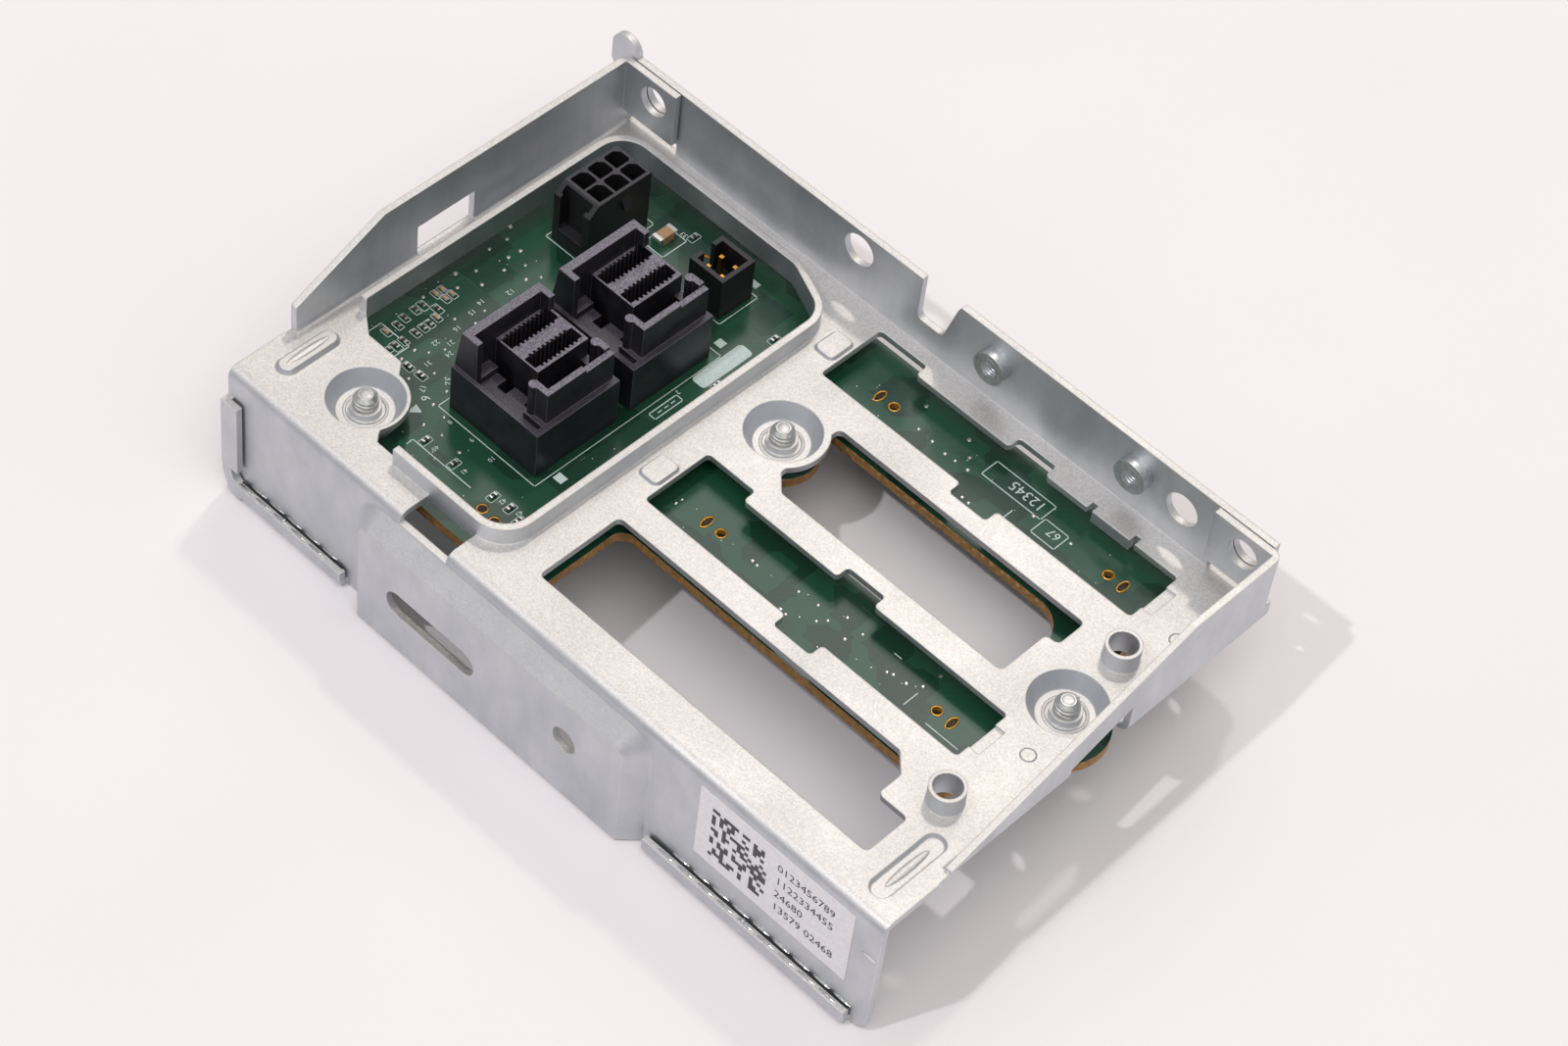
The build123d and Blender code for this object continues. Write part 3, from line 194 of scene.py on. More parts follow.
def makeBoard(name, look):
    material, tree, coords = openMaterial(name)
    pour = addNode(tree, "ShaderNodeTexVoronoi", {"distance": "CHEBYCHEV"},
                   {"Scale": 1.0 / (look["pour"] * mm)}, {"Vector": coords})
    picked = addNode(tree, "ShaderNodeSeparateColor", links={0: pour.outputs["Color"]}).outputs[0]
    green = between(tree, picked, *look["pourSpan"], look["mask"], look["copper"])
    turned = addNode(tree, "ShaderNodeMapping",
                     values={"Rotation": (0.0, 0.0, math.radians(look["traceTurn"]))}, links={0: coords})
    lines = addNode(tree, "ShaderNodeTexWave", {"bands_direction": "X"},
                    {"Scale": look["waveRepeat"] / (look["tracePitch"] * mm), "Distortion": 0.0},
                    {"Vector": turned.outputs[0]})
    thinLow, thinHigh = look["traceSpan"]
    thin = addNode(tree, "ShaderNodeMapRange",
                   values={1: thinLow, 2: thinHigh, 3: 0.0, 4: look["traceShare"]},
                   links={0: lines.outputs["Fac"]})
    routedLow, routedHigh = look["routedSpan"]
    patch = addNode(tree, "ShaderNodeMapRange", values={1: routedLow, 2: routedHigh},
                    links={0: grainOf(tree, coords, *look["routed"])})
    routed = addNode(tree, "ShaderNodeMath", {"operation": "MULTIPLY"},
                     links={0: thin.outputs[0], 1: patch.outputs[0]})
    green = layered(tree, routed.outputs[0], green, look["trace"])
    cells = addNode(tree, "ShaderNodeTexVoronoi", {"feature": "F1"},
                    {"Scale": 1.0 / (look["dotPitch"] * mm), "Randomness": look["dotJitter"]},
                    {"Vector": coords})
    dotLow, dotHigh = look["dotSpan"]
    dots = addNode(tree, "ShaderNodeMapRange", values={1: dotLow, 2: dotHigh, 3: look["dotShare"], 4: 0.0},
                   links={0: cells.outputs["Distance"]})
    glass = between(tree, grainOf(tree, coords, *look["glass"]), *look["glassSpan"], look["edgeDark"],
                    look["edge"])
    edge = layered(tree, dots.outputs[0], glass, look["dot"])
    normal = addNode(tree, "ShaderNodeNewGeometry").outputs["Normal"]
    upward = addNode(tree, "ShaderNodeSeparateXYZ", links={0: normal}).outputs[2]
    flat = addNode(tree, "ShaderNodeMath", {"operation": "ABSOLUTE"}, links={0: upward}).outputs[0]
    faceLow, faceHigh = look["faceSpan"]
    isFace = addNode(tree, "ShaderNodeMapRange", values={1: faceLow, 2: faceHigh}, links={0: flat}).outputs[0]
    rough = addNode(tree, "ShaderNodeMapRange", values={3: look["sawn"], 4: look["glossy"]},
                    links={0: isFace}).outputs[0]
    strength, depth = look["relief"]
    bump = addNode(tree, "ShaderNodeBump", values={"Strength": strength, "Distance": depth * mm},
                   links={"Height": picked})
    closeMaterial(tree, {"IOR": 1.52}, {"Base Color": layered(tree, isFace, edge, green), "Roughness": rough,
                                       "Normal": bump.outputs[0]})
    return material


# Glass-filled nylon and LCP, injection moulded: near black with a violet cast. Pale glass specks are painted
# on the upward faces high up as sheen from above, and a pale tone is painted along the edges as highlight.
# Each finish is a body tone, a highlight tone, a roughness, a speck size in mm and the height in mm that the
# specks start from
plasticLook = {"port": ("#29272f", "#938e9a", 0.4, 0.24, 26.8),
               "header": ("#141315", "#4a484c", 0.5, 0.24, 28.2),
               "receptacle": ("#18181a", "#38383b", 0.45, 0.26, 24.0),
               "shadow": "#141317", "cloud": (2.5, 3.0), "speckGrain": (4.0, 0.75), "speckSpan": (0.35, 0.68),
               "fade": 0.4, "lowShare": 0.3, "litTopSpan": (0.7, 0.98), "edge": 0.16, "edgeHighlightSpan": (0.82, 0.99),
               "edgeHighlightShare": 0.5, "relief": (0.35, 0.03)}


def makePlastic(name, look, finish):
    material, tree, coords = openMaterial(name)
    body, highlightTone, roughness, speck, paleFrom = look[finish]
    glass = grainOf(tree, coords, speck, *look["speckGrain"])
    rounded = roundedNormal(tree, look["edge"])
    # Painted highlight: the pale tone along the rounded edges
    edgeHighlightShare = edgeHighlightMask(tree, rounded, *look["edgeHighlightSpan"])
    bodyColour = between(tree, grainOf(tree, coords, *look["cloud"]), *grainSpan, body, look["shadow"])
    # Painted sheen: the pale specks show fully only on upward faces high up, and faintly lower down
    sheenSpecks = between(tree, glass, *look["speckSpan"], body, highlightTone)
    height = addNode(tree, "ShaderNodeSeparateXYZ", links={0: coords}).outputs[2]
    upper = addNode(tree, "ShaderNodeMapRange",
                    values={1: paleFrom * mm, 2: (paleFrom + look["fade"]) * mm, 3: look["lowShare"], 4: 1.0},
                    links={0: height})
    sheenShare = addNode(tree, "ShaderNodeMath", {"operation": "MULTIPLY"},
                       links={0: facingUp(tree, *look["litTopSpan"]), 1: upper.outputs[0]})
    colour = layered(tree, sheenShare.outputs[0], bodyColour, sheenSpecks)
    edgeHighlight = addNode(tree, "ShaderNodeMath", {"operation": "MULTIPLY"}, {1: look["edgeHighlightShare"]}, {0: edgeHighlightShare})
    colour = layered(tree, edgeHighlight.outputs[0], colour, highlightTone)
    strength, depth = look["relief"]
    bump = addNode(tree, "ShaderNodeBump", values={"Strength": strength, "Distance": depth * mm},
                   links={"Height": glass, "Normal": rounded})
    closeMaterial(tree, {"Roughness": roughness, "IOR": 1.53},
                  {"Base Color": colour, "Normal": bump.outputs[0]})
    return material


# Stamped or plated metal and fired or cast parts whose finish is one tone with a fine grain, and three tones
# of
# painted shade: contact metal painted dark, the shade in the hem's fold and the shade down the test holes.
# Each finish is a light tone, a dark tone, a roughness, a metallic share and a grain size in mm
smallLook = {"gold": ("#d9a648", "#b98430", 0.28, 1.0, 0.3),
             "solder": ("#dcdcd6", "#b9bab8", 0.24, 1.0, 0.2),
             "copperRing": ("#b0702c", "#8d5722", 0.35, 1.0, 0.3),
             # Gold and tinned contact metal painted dark brown as the shade that the port contacts and board
             # locks sit in
             "shadedContact": ("#453e34", "#26221d", 0.45, 1.0, 0.3),
             "ceramic": ("#b08a68", "#98744f", 0.45, 0.0, 0.4),
             "chipBody": ("#1c1b1d", "#262527", 0.4, 0.0, 0.3),
             "resin": ("#f0eddc", "#dcd8c0", 0.25, 0.0, 0.6),
             "ferrite": ("#4a4a4c", "#333335", 0.7, 0.0, 0.3),
             "case": ("#c77f2c", "#a96a22", 0.4, 0.0, 0.5),
             "ink": ("#cfdcd8", "#b4c6c2", 0.6, 0.0, 0.25),
             "film": ("#f1eff0", "#e6e4e6", 0.42, 0.0, 0.6),
             "print": ("#38343a", "#4a464b", 0.5, 0.0, 0.2),
             # Painted shadow for the gap inside the hem's fold
             "shade": ("#3c3f42", "#2c2e30", 0.6, 0.6, 0.4),
             # Painted shade for the dark inside of the test holes
             "bore": ("#2a1a10", "#1c120c", 0.7, 0.0, 0.3)}
smallRelief = {"detail": 3.0, "strength": 0.15, "depth": 0.02}


def makeSmall(name, light, dark, roughness, metallic, size):
    material, tree, coords = openMaterial(name)
    grain = grainOf(tree, coords, size, smallRelief["detail"])
    bump = addNode(tree, "ShaderNodeBump",
                   values={"Strength": smallRelief["strength"], "Distance": smallRelief["depth"] * mm},
                   links={"Height": grain})
    closeMaterial(tree, {"Metallic": metallic, "Roughness": roughness},
                  {"Base Color": between(tree, grain, *grainSpan, dark, light), "Normal": bump.outputs[0]})
    return material


zincSheet = makeZinc("galvanisedSheet", zincLook)
nutSteel = makeHardware("platedNutSteel", hardwareLook, "nut")
screwSteel = makeHardware("platedScrewSteel", hardwareLook, "screw")
washerSteel = makeHardware("platedWasherSteel", hardwareLook, "washer")
boardLaminate = makeBoard("solderMaskedLaminate", boardLook)
portNylon = makePlastic("mouldedPortNylon", plasticLook, "port")
headerNylon = makePlastic("mouldedHeaderNylon", plasticLook, "header")
receptacleNylon = makePlastic("mouldedReceptacleNylon", plasticLook, "receptacle")
small = {key: makeSmall(key + "Finish", *values) for key, values in smallLook.items()}
finishes = {"bracket": zincSheet, "clinch_nuts": nutSteel, "board_screws": screwSteel,
            "board_washers": washerSteel, "circuit_board": boardLaminate,
            "ceramic_capacitor": small["ceramic"], "chip_capacitors": small["ceramic"],
            "chip_resistors": small["chipBody"], "logic_chip": small["chipBody"],
            "front_label": small["film"], "drive_lamps": small["resin"],
            "receptacle_board_locks": small["shadedContact"], "supply_coil": small["ferrite"],
            "supply_filter_capacitors": small["case"]}
for name, node in nodes.items():
    # Port contacts take the contact metal painted dark as their shade
    if "port" in name and "contacts" in name:
        chosen = small["shadedContact"]
    elif "contacts" in name or "pins" in name:
        chosen = small["gold"]
    elif "receptacle" in name and "housing" in name:
        chosen = receptacleNylon
    elif "port" in name:
        chosen = portNylon
    else:
        chosen = finishes.get(name) or headerNylon
    node.data.materials.clear()
    node.data.materials.append(chosen)
print("stage: materials on the frame's parts")


def ridePiece(piece):
    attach(piece, "root")
    return piece


# A plain mesh piece from points in mm
def meshPiece(name, points, faces, material, slotName):
    mesh = bpy.data.meshes.new(name)
    mesh.from_pydata([[c * mm for c in p] for p in points], [], faces)
    mesh.materials.append(material)
    piece = bpy.data.objects.new(name, mesh)
    collection.objects.link(piece)
    return ridePiece(piece)


def openTree(name, inputs):
    tree = bpy.data.node_groups.new(name, "GeometryNodeTree")
    tree.interface.new_socket("Points", in_out="INPUT", socket_type="NodeSocketGeometry")
    for label, kind in inputs.items():
        tree.interface.new_socket(label, in_out="INPUT", socket_type="NodeSocket" + kind)
    tree.interface.new_socket("Mesh", in_out="OUTPUT", socket_type="NodeSocketGeometry")
    return tree, addNode(tree, "NodeGroupInput").outputs


# Ends a tree: real geometry with one material
def closeTree(tree, shape, material):
    real = addNode(tree, "GeometryNodeRealizeInstances", links={0: shape})
    painted = addNode(tree, "GeometryNodeSetMaterial",
                      links={"Geometry": real.outputs[0], "Material": material})
    addNode(tree, "NodeGroupOutput", links={0: painted.outputs[0]})


# Runs a tree on points in mm and keeps its result as a plain mesh
def grow(name, tree, points, settings):
    seeds = bpy.data.meshes.new(name + "Seeds")
    seeds.from_pydata([[c * mm for c in p] for p in points], [], [])
    holder = bpy.data.objects.new(name + "Holder", seeds)
    collection.objects.link(holder)
    modifier = holder.modifiers.new("build", "NODES")
    modifier.node_group = tree
    sockets = {item.name: item.identifier for item in tree.interface.items_tree if item.in_out == "INPUT"}
    for label, value in settings.items():
        modifier[sockets[label]] = value
    grown = bpy.data.meshes.new_from_object(holder.evaluated_get(bpy.context.evaluated_depsgraph_get()))
    bpy.data.objects.remove(holder)
    grown.name = name
    piece = bpy.data.objects.new(name, grown)
    collection.objects.link(piece)
    return ridePiece(piece)


# Tree: a low round bead of solder on every point, up to Spread smaller than its size
def makeBeadTree():
    tree, inputs = openTree("solderBeads", {"Radius": "Float", "Height": "Float", "Finish": "Material",
                                           "Spread": "Float", "Seed": "Int"})
    ball = addNode(tree, "GeometryNodeMeshUVSphere", values={"Segments": 12, "Rings": 7},
                   links={"Radius": inputs["Radius"]})
    squat = addNode(tree, "ShaderNodeMath", {"operation": "DIVIDE"},
                    links={0: inputs["Height"], 1: inputs["Radius"]})
    scale = addNode(tree, "ShaderNodeCombineXYZ", values={0: 1.0, 1: 1.0}, links={2: squat.outputs[0]})
    flat = addNode(tree, "GeometryNodeTransform",
                   links={"Geometry": ball.outputs[0], "Scale": scale.outputs[0]})
    low = addNode(tree, "ShaderNodeMath", {"operation": "SUBTRACT"}, {0: 1.0}, {1: inputs["Spread"]})
    size = addNode(tree, "FunctionNodeRandomValue", {"data_type": "FLOAT"}, {3: 1.0},
                   {2: low.outputs[0], "Seed": inputs["Seed"]})
    placed = addNode(tree, "GeometryNodeInstanceOnPoints",
                     links={"Points": inputs["Points"], "Instance": flat.outputs[0],
                            "Scale": size.outputs[1]})
    closeTree(tree, placed.outputs[0], inputs["Finish"])
    return tree


# Tree: a small block on every point, turned about z
def makeBlockTree():
    tree, inputs = openTree("smallBlocks", {"Size": "Vector", "Turn": "Float", "Finish": "Material"})
    block = addNode(tree, "GeometryNodeMeshCube", links={"Size": inputs["Size"]})
    spin = addNode(tree, "ShaderNodeCombineXYZ", links={2: inputs["Turn"]})
    placed = addNode(tree, "GeometryNodeInstanceOnPoints",
                     links={"Points": inputs["Points"], "Instance": block.outputs[0],
                            "Rotation": spin.outputs[0]})
    closeTree(tree, placed.outputs[0], inputs["Finish"])
    return tree


# Tree: a lens-shaped crimp, long in x, on every point
def makeCrimpTree():
    tree, inputs = openTree("hemCrimps", {"Length": "Float", "Width": "Float", "Height": "Float",
                                         "Turn": "Vector", "Finish": "Material"})
    ball = addNode(tree, "GeometryNodeMeshUVSphere", values={"Segments": 14, "Rings": 9, "Radius": 0.5})
    size = addNode(tree, "ShaderNodeCombineXYZ",
                   links={0: inputs["Length"], 1: inputs["Width"], 2: inputs["Height"]})
    lens = addNode(tree, "GeometryNodeTransform",
                   links={"Geometry": ball.outputs[0], "Scale": size.outputs[0]})
    placed = addNode(tree, "GeometryNodeInstanceOnPoints",
                     links={"Points": inputs["Points"], "Instance": lens.outputs[0],
                            "Rotation": inputs["Turn"]})
    closeTree(tree, placed.outputs[0], inputs["Finish"])
    return tree


# Tree: a helical thread ridge that starts at every point
def makeThreadTree():
    tree, inputs = openTree("threadRidges", {"Radius": "Float", "Length": "Float", "Turns": "Float",
                                            "Ridge": "Float", "Finish": "Material"})
    helix = addNode(tree, "GeometryNodeCurveSpiral", values={"Resolution": 28},
                    links={"Rotations": inputs["Turns"], "Start Radius": inputs["Radius"],
                           "End Radius": inputs["Radius"], "Height": inputs["Length"]})
    ridge = addNode(tree, "GeometryNodeCurvePrimitiveCircle", values={"Resolution": 6},
                    links={"Radius": inputs["Ridge"]})
    swept = addNode(tree, "GeometryNodeCurveToMesh", values={"Fill Caps": True},
                    links={"Curve": helix.outputs[0], "Profile Curve": ridge.outputs[0]})
    placed = addNode(tree, "GeometryNodeInstanceOnPoints",
                     links={"Points": inputs["Points"], "Instance": swept.outputs[0]})
    closeTree(tree, placed.outputs[0], inputs["Finish"])
    return tree


# Tree: a ring with a flat top on every point
def makeRingTree():
    tree, inputs = openTree("platedRings", {"Radius": "Float", "Width": "Float", "Height": "Float",
                                           "Stretch": "Vector", "Finish": "Material"})
    path = addNode(tree, "GeometryNodeCurvePrimitiveCircle", values={"Resolution": 32},
                   links={"Radius": inputs["Radius"]})
    wide = addNode(tree, "GeometryNodeTransform",
                   links={"Geometry": path.outputs[0], "Scale": inputs["Stretch"]})
    section = addNode(tree, "GeometryNodeCurvePrimitiveQuadrilateral",
                      links={"Width": inputs["Width"], "Height": inputs["Height"]})
    swept = addNode(tree, "GeometryNodeCurveToMesh",
                    links={"Curve": wide.outputs[0], "Profile Curve": section.outputs[0]})
    placed = addNode(tree, "GeometryNodeInstanceOnPoints",
                     links={"Points": inputs["Points"], "Instance": swept.outputs[0]})
    closeTree(tree, placed.outputs[0], inputs["Finish"])
    return tree


beadTree = makeBeadTree()
blockTree = makeBlockTree()
crimpTree = makeCrimpTree()
threadTree = makeThreadTree()
ringTree = makeRingTree()
print("stage: geometry trees built")


# Solder-filled vias on the top of the board, and a finer via field between them. A fine area is x from and
# to, y from and to, and a count
vias = {"radius": 0.34, "height": 0.14, "spread": 0.3, "seed": 4,
        "fineRadius": 0.13, "fineHeight": 0.05, "fineSpread": 0.4, "fineSeed": 9, "fineDice": 7,
        "fineAreas": [(-52.5, -42.5, -16.0, 12.0, 14), (-4.0, 46.0, -8.5, -1.2, 16),
                      (-4.0, 46.0, 23.2, 30.8, 16), (-36.0, -14.0, -26.5, -17.5, 10),
                      (-17.0, -12.5, -10.0, 24.0, 8)],
        "collar": [(-53.0, 12.2), (-51.6, 10.3), (-48.9, 10.2), (-51.8, 7.3), (-49.1, 8.2), (-46.6, 8.9),
                   (-50.1, 3.3), (-47.8, 6.2), (-44.7, 7.2), (-47.8, 2.2), (-43.7, 9.0), (-49.5, -0.6),
                   (-45.7, -4.6), (-44.2, -0.7), (-43.4, -3.1), (-42.6, -9.2), (-43.6, -11.1),
                   (-45.1, -12.2), (-45.1, -14.5), (-40.5, -13.0), (-42.0, -16.1), (-37.2, -13.9),
                   (-36.7, -16.7), (-34.2, -17.1), (-35.0, -19.9), (-32.2, -19.3), (-28.6, -19.6),
                   (-51.5, 0.9), (-51.2, -5.1)],
        "rearStrip": [(5.5, 31.0), (13.1, 31.0), (15.2, 28.8), (16.4, 27.1), (19.0, 23.2), (20.2, 23.1),
                      (27.2, 27.8), (33.4, 28.0), (7.5, 27.4), (10.1, 27.2), (12.6, 26.9), (14.3, 27.0)],
        "frontStrip": [(-4.5, -4.9), (-4.4, -3.9), (8.5, -4.3), (9.4, -4.4), (15.8, -3.5), (18.9, -3.2),
                       (21.4, -4.1), (22.7, -1.9), (25.8, -2.4), (24.8, -4.6), (31.8, -4.4), (32.6, -4.1),
                       (34.6, -3.9), (36.7, 0.1), (20.5, -5.2), (36.3, -2.7), (16.2, -7.2), (17.2, -7.3)]}
viaPlaces = vias["collar"] + vias["rearStrip"] + vias["frontStrip"]
grow("board_vias", beadTree, [(x, y, level["boardTop"]) for x, y in viaPlaces],
     {"Radius": vias["radius"] * mm, "Height": vias["height"] * mm, "Finish": small["solder"],
      "Spread": vias["spread"], "Seed": vias["seed"]})
dice = random.Random(vias["fineDice"])
fine = [(dice.uniform(x0, x1), dice.uniform(y0, y1), level["boardTop"])
        for x0, x1, y0, y1, count in vias["fineAreas"] for _ in range(count)]
grow("board_fine_vias", beadTree, fine,
     {"Radius": vias["fineRadius"] * mm, "Height": vias["fineHeight"] * mm, "Finish": small["solder"],
      "Spread": vias["fineSpread"], "Seed": vias["fineSeed"]})

# Solder tails of the ports and headers on the underside, in columns and rows
tails = {"radius": 0.36, "height": 0.5, "spread": 0.15, "seed": 2,
         "portColumns": (-33.4, -31.6, -28.4, -26.6), "portFronts": (-15.4, 1.4), "portFirst": 3.6,
         "portPitch": 1.2, "portCount": 9,
         "powerColumns": (-46.25, -43.25), "powerRows": (18.55, 21.55, 24.55),
         "signalColumns": (-27.0, -25.0), "signalRows": (23.4, 25.4)}
tailPlaces = [(x, front + tails["portFirst"] + tails["portPitch"] * k) for x in tails["portColumns"]
              for front in tails["portFronts"] for k in range(tails["portCount"])]
tailPlaces += [(x, y) for x in tails["powerColumns"] for y in tails["powerRows"]]
tailPlaces += [(x, y) for x in tails["signalColumns"] for y in tails["signalRows"]]
grow("underside_solder_tails", beadTree, [(x, y, level["boardUnder"]) for x, y in tailPlaces],
     {"Radius": tails["radius"] * mm, "Height": tails["height"] * mm, "Finish": small["solder"],
      "Spread": tails["spread"], "Seed": tails["seed"]})
print("stage: vias and solder tails")

# Plated rings: slots and holes where the receptacles lock in, and the two test holes by the front edge
rings = {"radius": 0.72, "width": 0.24, "height": 0.06, "lift": 0.02, "slotStretch": (0.75, 1.5, 1.0),
         "lockHoles": [(2.8, -4.15), (40.0, -4.15), (2.8, 27.75), (40.0, 27.75)],
         "lockSlots": [(0.3, -4.15), (42.5, -4.15), (0.3, 27.75), (42.5, 27.75)],
         "testHoles": [(-19.9, -23.8), (-17.4, -24.1)]}
ringTop = level["boardTop"] + rings["lift"]
ringSize = {"Radius": rings["radius"] * mm, "Width": rings["width"] * mm, "Height": rings["height"] * mm,
            "Finish": small["gold"]}
grow("ringed_holes", ringTree, [(x, y, ringTop) for x, y in rings["lockHoles"] + rings["testHoles"]],
     {**ringSize, "Stretch": evenly})
grow("ringed_slots", ringTree, [(x, y, ringTop) for x, y in rings["lockSlots"]],
     {**ringSize, "Stretch": rings["slotStretch"]})

# Bare copper ring on the board beside the signal header
headerRing = {"place": (-31.6, 27.2), "radius": 1.15, "width": 0.4, "height": 0.06}
grow("header_ring", ringTree, [(*headerRing["place"], ringTop)],
     {"Radius": headerRing["radius"] * mm, "Width": headerRing["width"] * mm,
      "Height": headerRing["height"] * mm, "Stretch": evenly, "Finish": small["copperRing"]})

# Dark discs painted inside the rings of the test holes as the shade down the holes
holeShadeDiscs = {"radius": 0.68, "sides": 20}
points, faces = [], []
for x, y in rings["testHoles"]:
    start = len(points)
    for k in range(holeShadeDiscs["sides"]):
        angle = 2 * math.pi * k / holeShadeDiscs["sides"]
        points.append((x + holeShadeDiscs["radius"] * math.cos(angle), y + holeShadeDiscs["radius"] * math.sin(angle),
                       ringTop))
    faces.append(tuple(range(start, len(points))))
meshPiece("test_hole_shade_discs", points, faces, small["bore"], "board_laminate")
print("stage: plated rings")

# Small chip parts: dark bodies with tinned ends that stand a hair proud
chips = {"length": 1.0, "width": 0.5, "height": 0.4, "bodyShare": (0.98, 0.96), "end": 0.26, "proud": 0.04,
         "alongX": [(-50.1, -6.2), (-48.4, -5.2), (-47.1, -13.6), (-43.5, -14.8), (-41.3, -14.6)],
         "alongY": [(-32.8, -21.6), (-27.6, -21.5), (-20.4, -21.5), (-17.6, -21.2), (-15.4, -21.8),
                    (-35.5, 29.3), (-47.3, -15.0), (-14.9, 13.0), (-14.6, 16.0), (-13.8, 21.6),
                    (-15.6, 24.3)]}
chipZ = level["boardTop"] + chips["height"] / 2
reach = (chips["length"] - chips["end"]) / 2
lengthShare, widthShare = chips["bodyShare"]
for key, turn, (stepX, stepY), places in (("x", 0.0, (reach, 0.0), chips["alongX"]),
                                          ("y", math.pi / 2, (0.0, reach), chips["alongY"])):
    grow("chip_bodies_" + key, blockTree, [(x, y, chipZ) for x, y in places],
         {"Size": (chips["length"] * lengthShare * mm, chips["width"] * widthShare * mm,
                   chips["height"] * mm),
          "Turn": turn, "Finish": small["chipBody"]})
    grow("chip_ends_" + key, blockTree,
         [(x + side * stepX, y + side * stepY, chipZ) for x, y in places for side in (-1, 1)],
         {"Size": (chips["end"] * mm, chips["width"] * mm, (chips["height"] + chips["proud"]) * mm),
          "Turn": turn, "Finish": small["solder"]})


# Boxes of a node's separate solids, in mm
def solidBoxes(nodeName):
    mesh = nodes[nodeName].data
    owner = list(range(len(mesh.vertices)))

    def rootOf(index):
        while owner[index] != index:
            owner[index] = owner[owner[index]]
            index = owner[index]
        return index

    seen = {}
    for vertex in mesh.vertices:
        key = tuple(round(c, 6) for c in vertex.co)
        owner[rootOf(vertex.index)] = rootOf(seen.setdefault(key, vertex.index))
    for edge in mesh.edges:
        owner[rootOf(edge.vertices[0])] = rootOf(edge.vertices[1])
    clusters = {}
    for vertex in mesh.vertices:
        clusters.setdefault(rootOf(vertex.index), []).append(vertex.co / mm)
    return [([min(c[i] for c in points) for i in range(3)], [max(c[i] for c in points) for i in range(3)])
            for points in clusters.values()]


# Adds the six faces of a block between two corners
def blockFaces(points, faces, a, b):
    n = len(points)
    outline = ((a[0], a[1]), (b[0], a[1]), (b[0], b[1]), (a[0], b[1]))
    points += [(x, y, z) for z in (a[2], b[2]) for x, y in outline]
    faces += [(n + 3, n + 2, n + 1, n), (n + 4, n + 5, n + 6, n + 7)]
    faces += [(n + i, n + (i + 1) % 4, n + 4 + (i + 1) % 4, n + 4 + i) for i in range(4)]


# Tinned end caps a hair proud of the frame's chip parts: each covers a share of the length along an axis
caps = {"proud": 0.02, "chipShare": 0.24, "ceramicShare": 0.18}


def capBlocks(boxes, axis, share):
    points, faces = [], []
    proud = caps["proud"]
    across = 1 - axis
    for low, high in boxes:
        length = (high[axis] - low[axis]) * share
        for start, stop in ((low[axis] - proud, low[axis] + length),
                            (high[axis] - length, high[axis] + proud)):
            a, b = [0.0, 0.0, low[2]], [0.0, 0.0, high[2] + proud]
            a[axis], b[axis] = start, stop
            a[across], b[across] = low[across] - proud, high[across] + proud
            blockFaces(points, faces, a, b)
    return points, faces


chipBoxes = solidBoxes("chip_resistors") + solidBoxes("chip_capacitors")
meshPiece("chip_end_caps", *capBlocks(chipBoxes, 0, caps["chipShare"]), small["solder"], "contact_metal")
meshPiece("ceramic_end_caps", *capBlocks(solidBoxes("ceramic_capacitor"), 1, caps["ceramicShare"]),
          small["solder"], "contact_metal")
print("stage: chip parts")

# White print on the board: outlines of parts, plain strokes, patches and an arrow. An outline or a box is
# x and y of two corners, and a patch has its corner radius as well
boardPrint = {"line": 0.15, "fine": 0.09, "height": 0.02, "margin": (0.3, 0.21), "chipHalf": (0.9, 0.55),
              "outlines": [(-36.1, -16.4, -18.2, 17.0), (-48.7, 14.6, -40.8, 27.0),
                           (-29.6, 20.8, -22.3, 28.0), (-39.4, 23.6, -35.7, 28.1),
                           (-17.3, 2.9, -16.1, 7.9), (-51.4, -15.6, -46.0, -12.3)],
              "strokes": [((-34.1, -22.6), (-23.4, -22.6)), ((-34.0, -23.7), (-34.1, -22.6)),
                          ((40.4, -7.7), (45.6, -7.7)), ((40.4, -6.6), (45.6, -6.6)),
                          ((36.6, -6.5), (36.6, -4.0)), ((30.5, -1.6), (31.6, -1.6)),
                          ((24.8, 24.0), (24.8, 26.4)), ((-16.7, 4.0), (-16.7, 4.6)),
                          ((-16.7, 5.2), (-16.7, 5.8)), ((-16.7, 6.4), (-16.7, 7.0))],
              "boxes": [(18.0, 28.0, 28.2, 31.1), (28.6, 25.6, 32.6, 28.6)],
              "patches": [(-18.05, 11.25, -15.65, 20.55, 0.6), (-17.8, -13.7, -16.3, -12.4, 0.05),
                          (-20.5, 17.9, -19.2, 19.2, 0.05), (-25.0, 28.9, -23.6, 30.0, 0.05)],
              "patchSteps": 4, "arrow": [(-38.1, -18.3), (-37.9, -20.2), (-36.6, -18.7)]}
printZ = level["boardTop"] + boardPrint["height"]


# A flat line of the given width through points, laid on the board
def ribbon(points, faces, path, width):
    for (x0, y0), (x1, y1) in zip(path, path[1:]):
        run = math.hypot(x1 - x0, y1 - y0)
        ux, uy = (x1 - x0) / run * width / 2, (y1 - y0) / run * width / 2
        n = len(points)
        points += [(x0 - ux + uy, y0 - uy - ux, printZ), (x1 + ux + uy, y1 + uy - ux, printZ),
                   (x1 + ux - uy, y1 + uy + ux, printZ), (x0 - ux - uy, y0 - uy + ux, printZ)]
        faces.append((n, n + 1, n + 2, n + 3))


def boxPath(x0, y0, x1, y1):
    return [(x0, y0), (x1, y0), (x1, y1), (x0, y1), (x0, y0)]


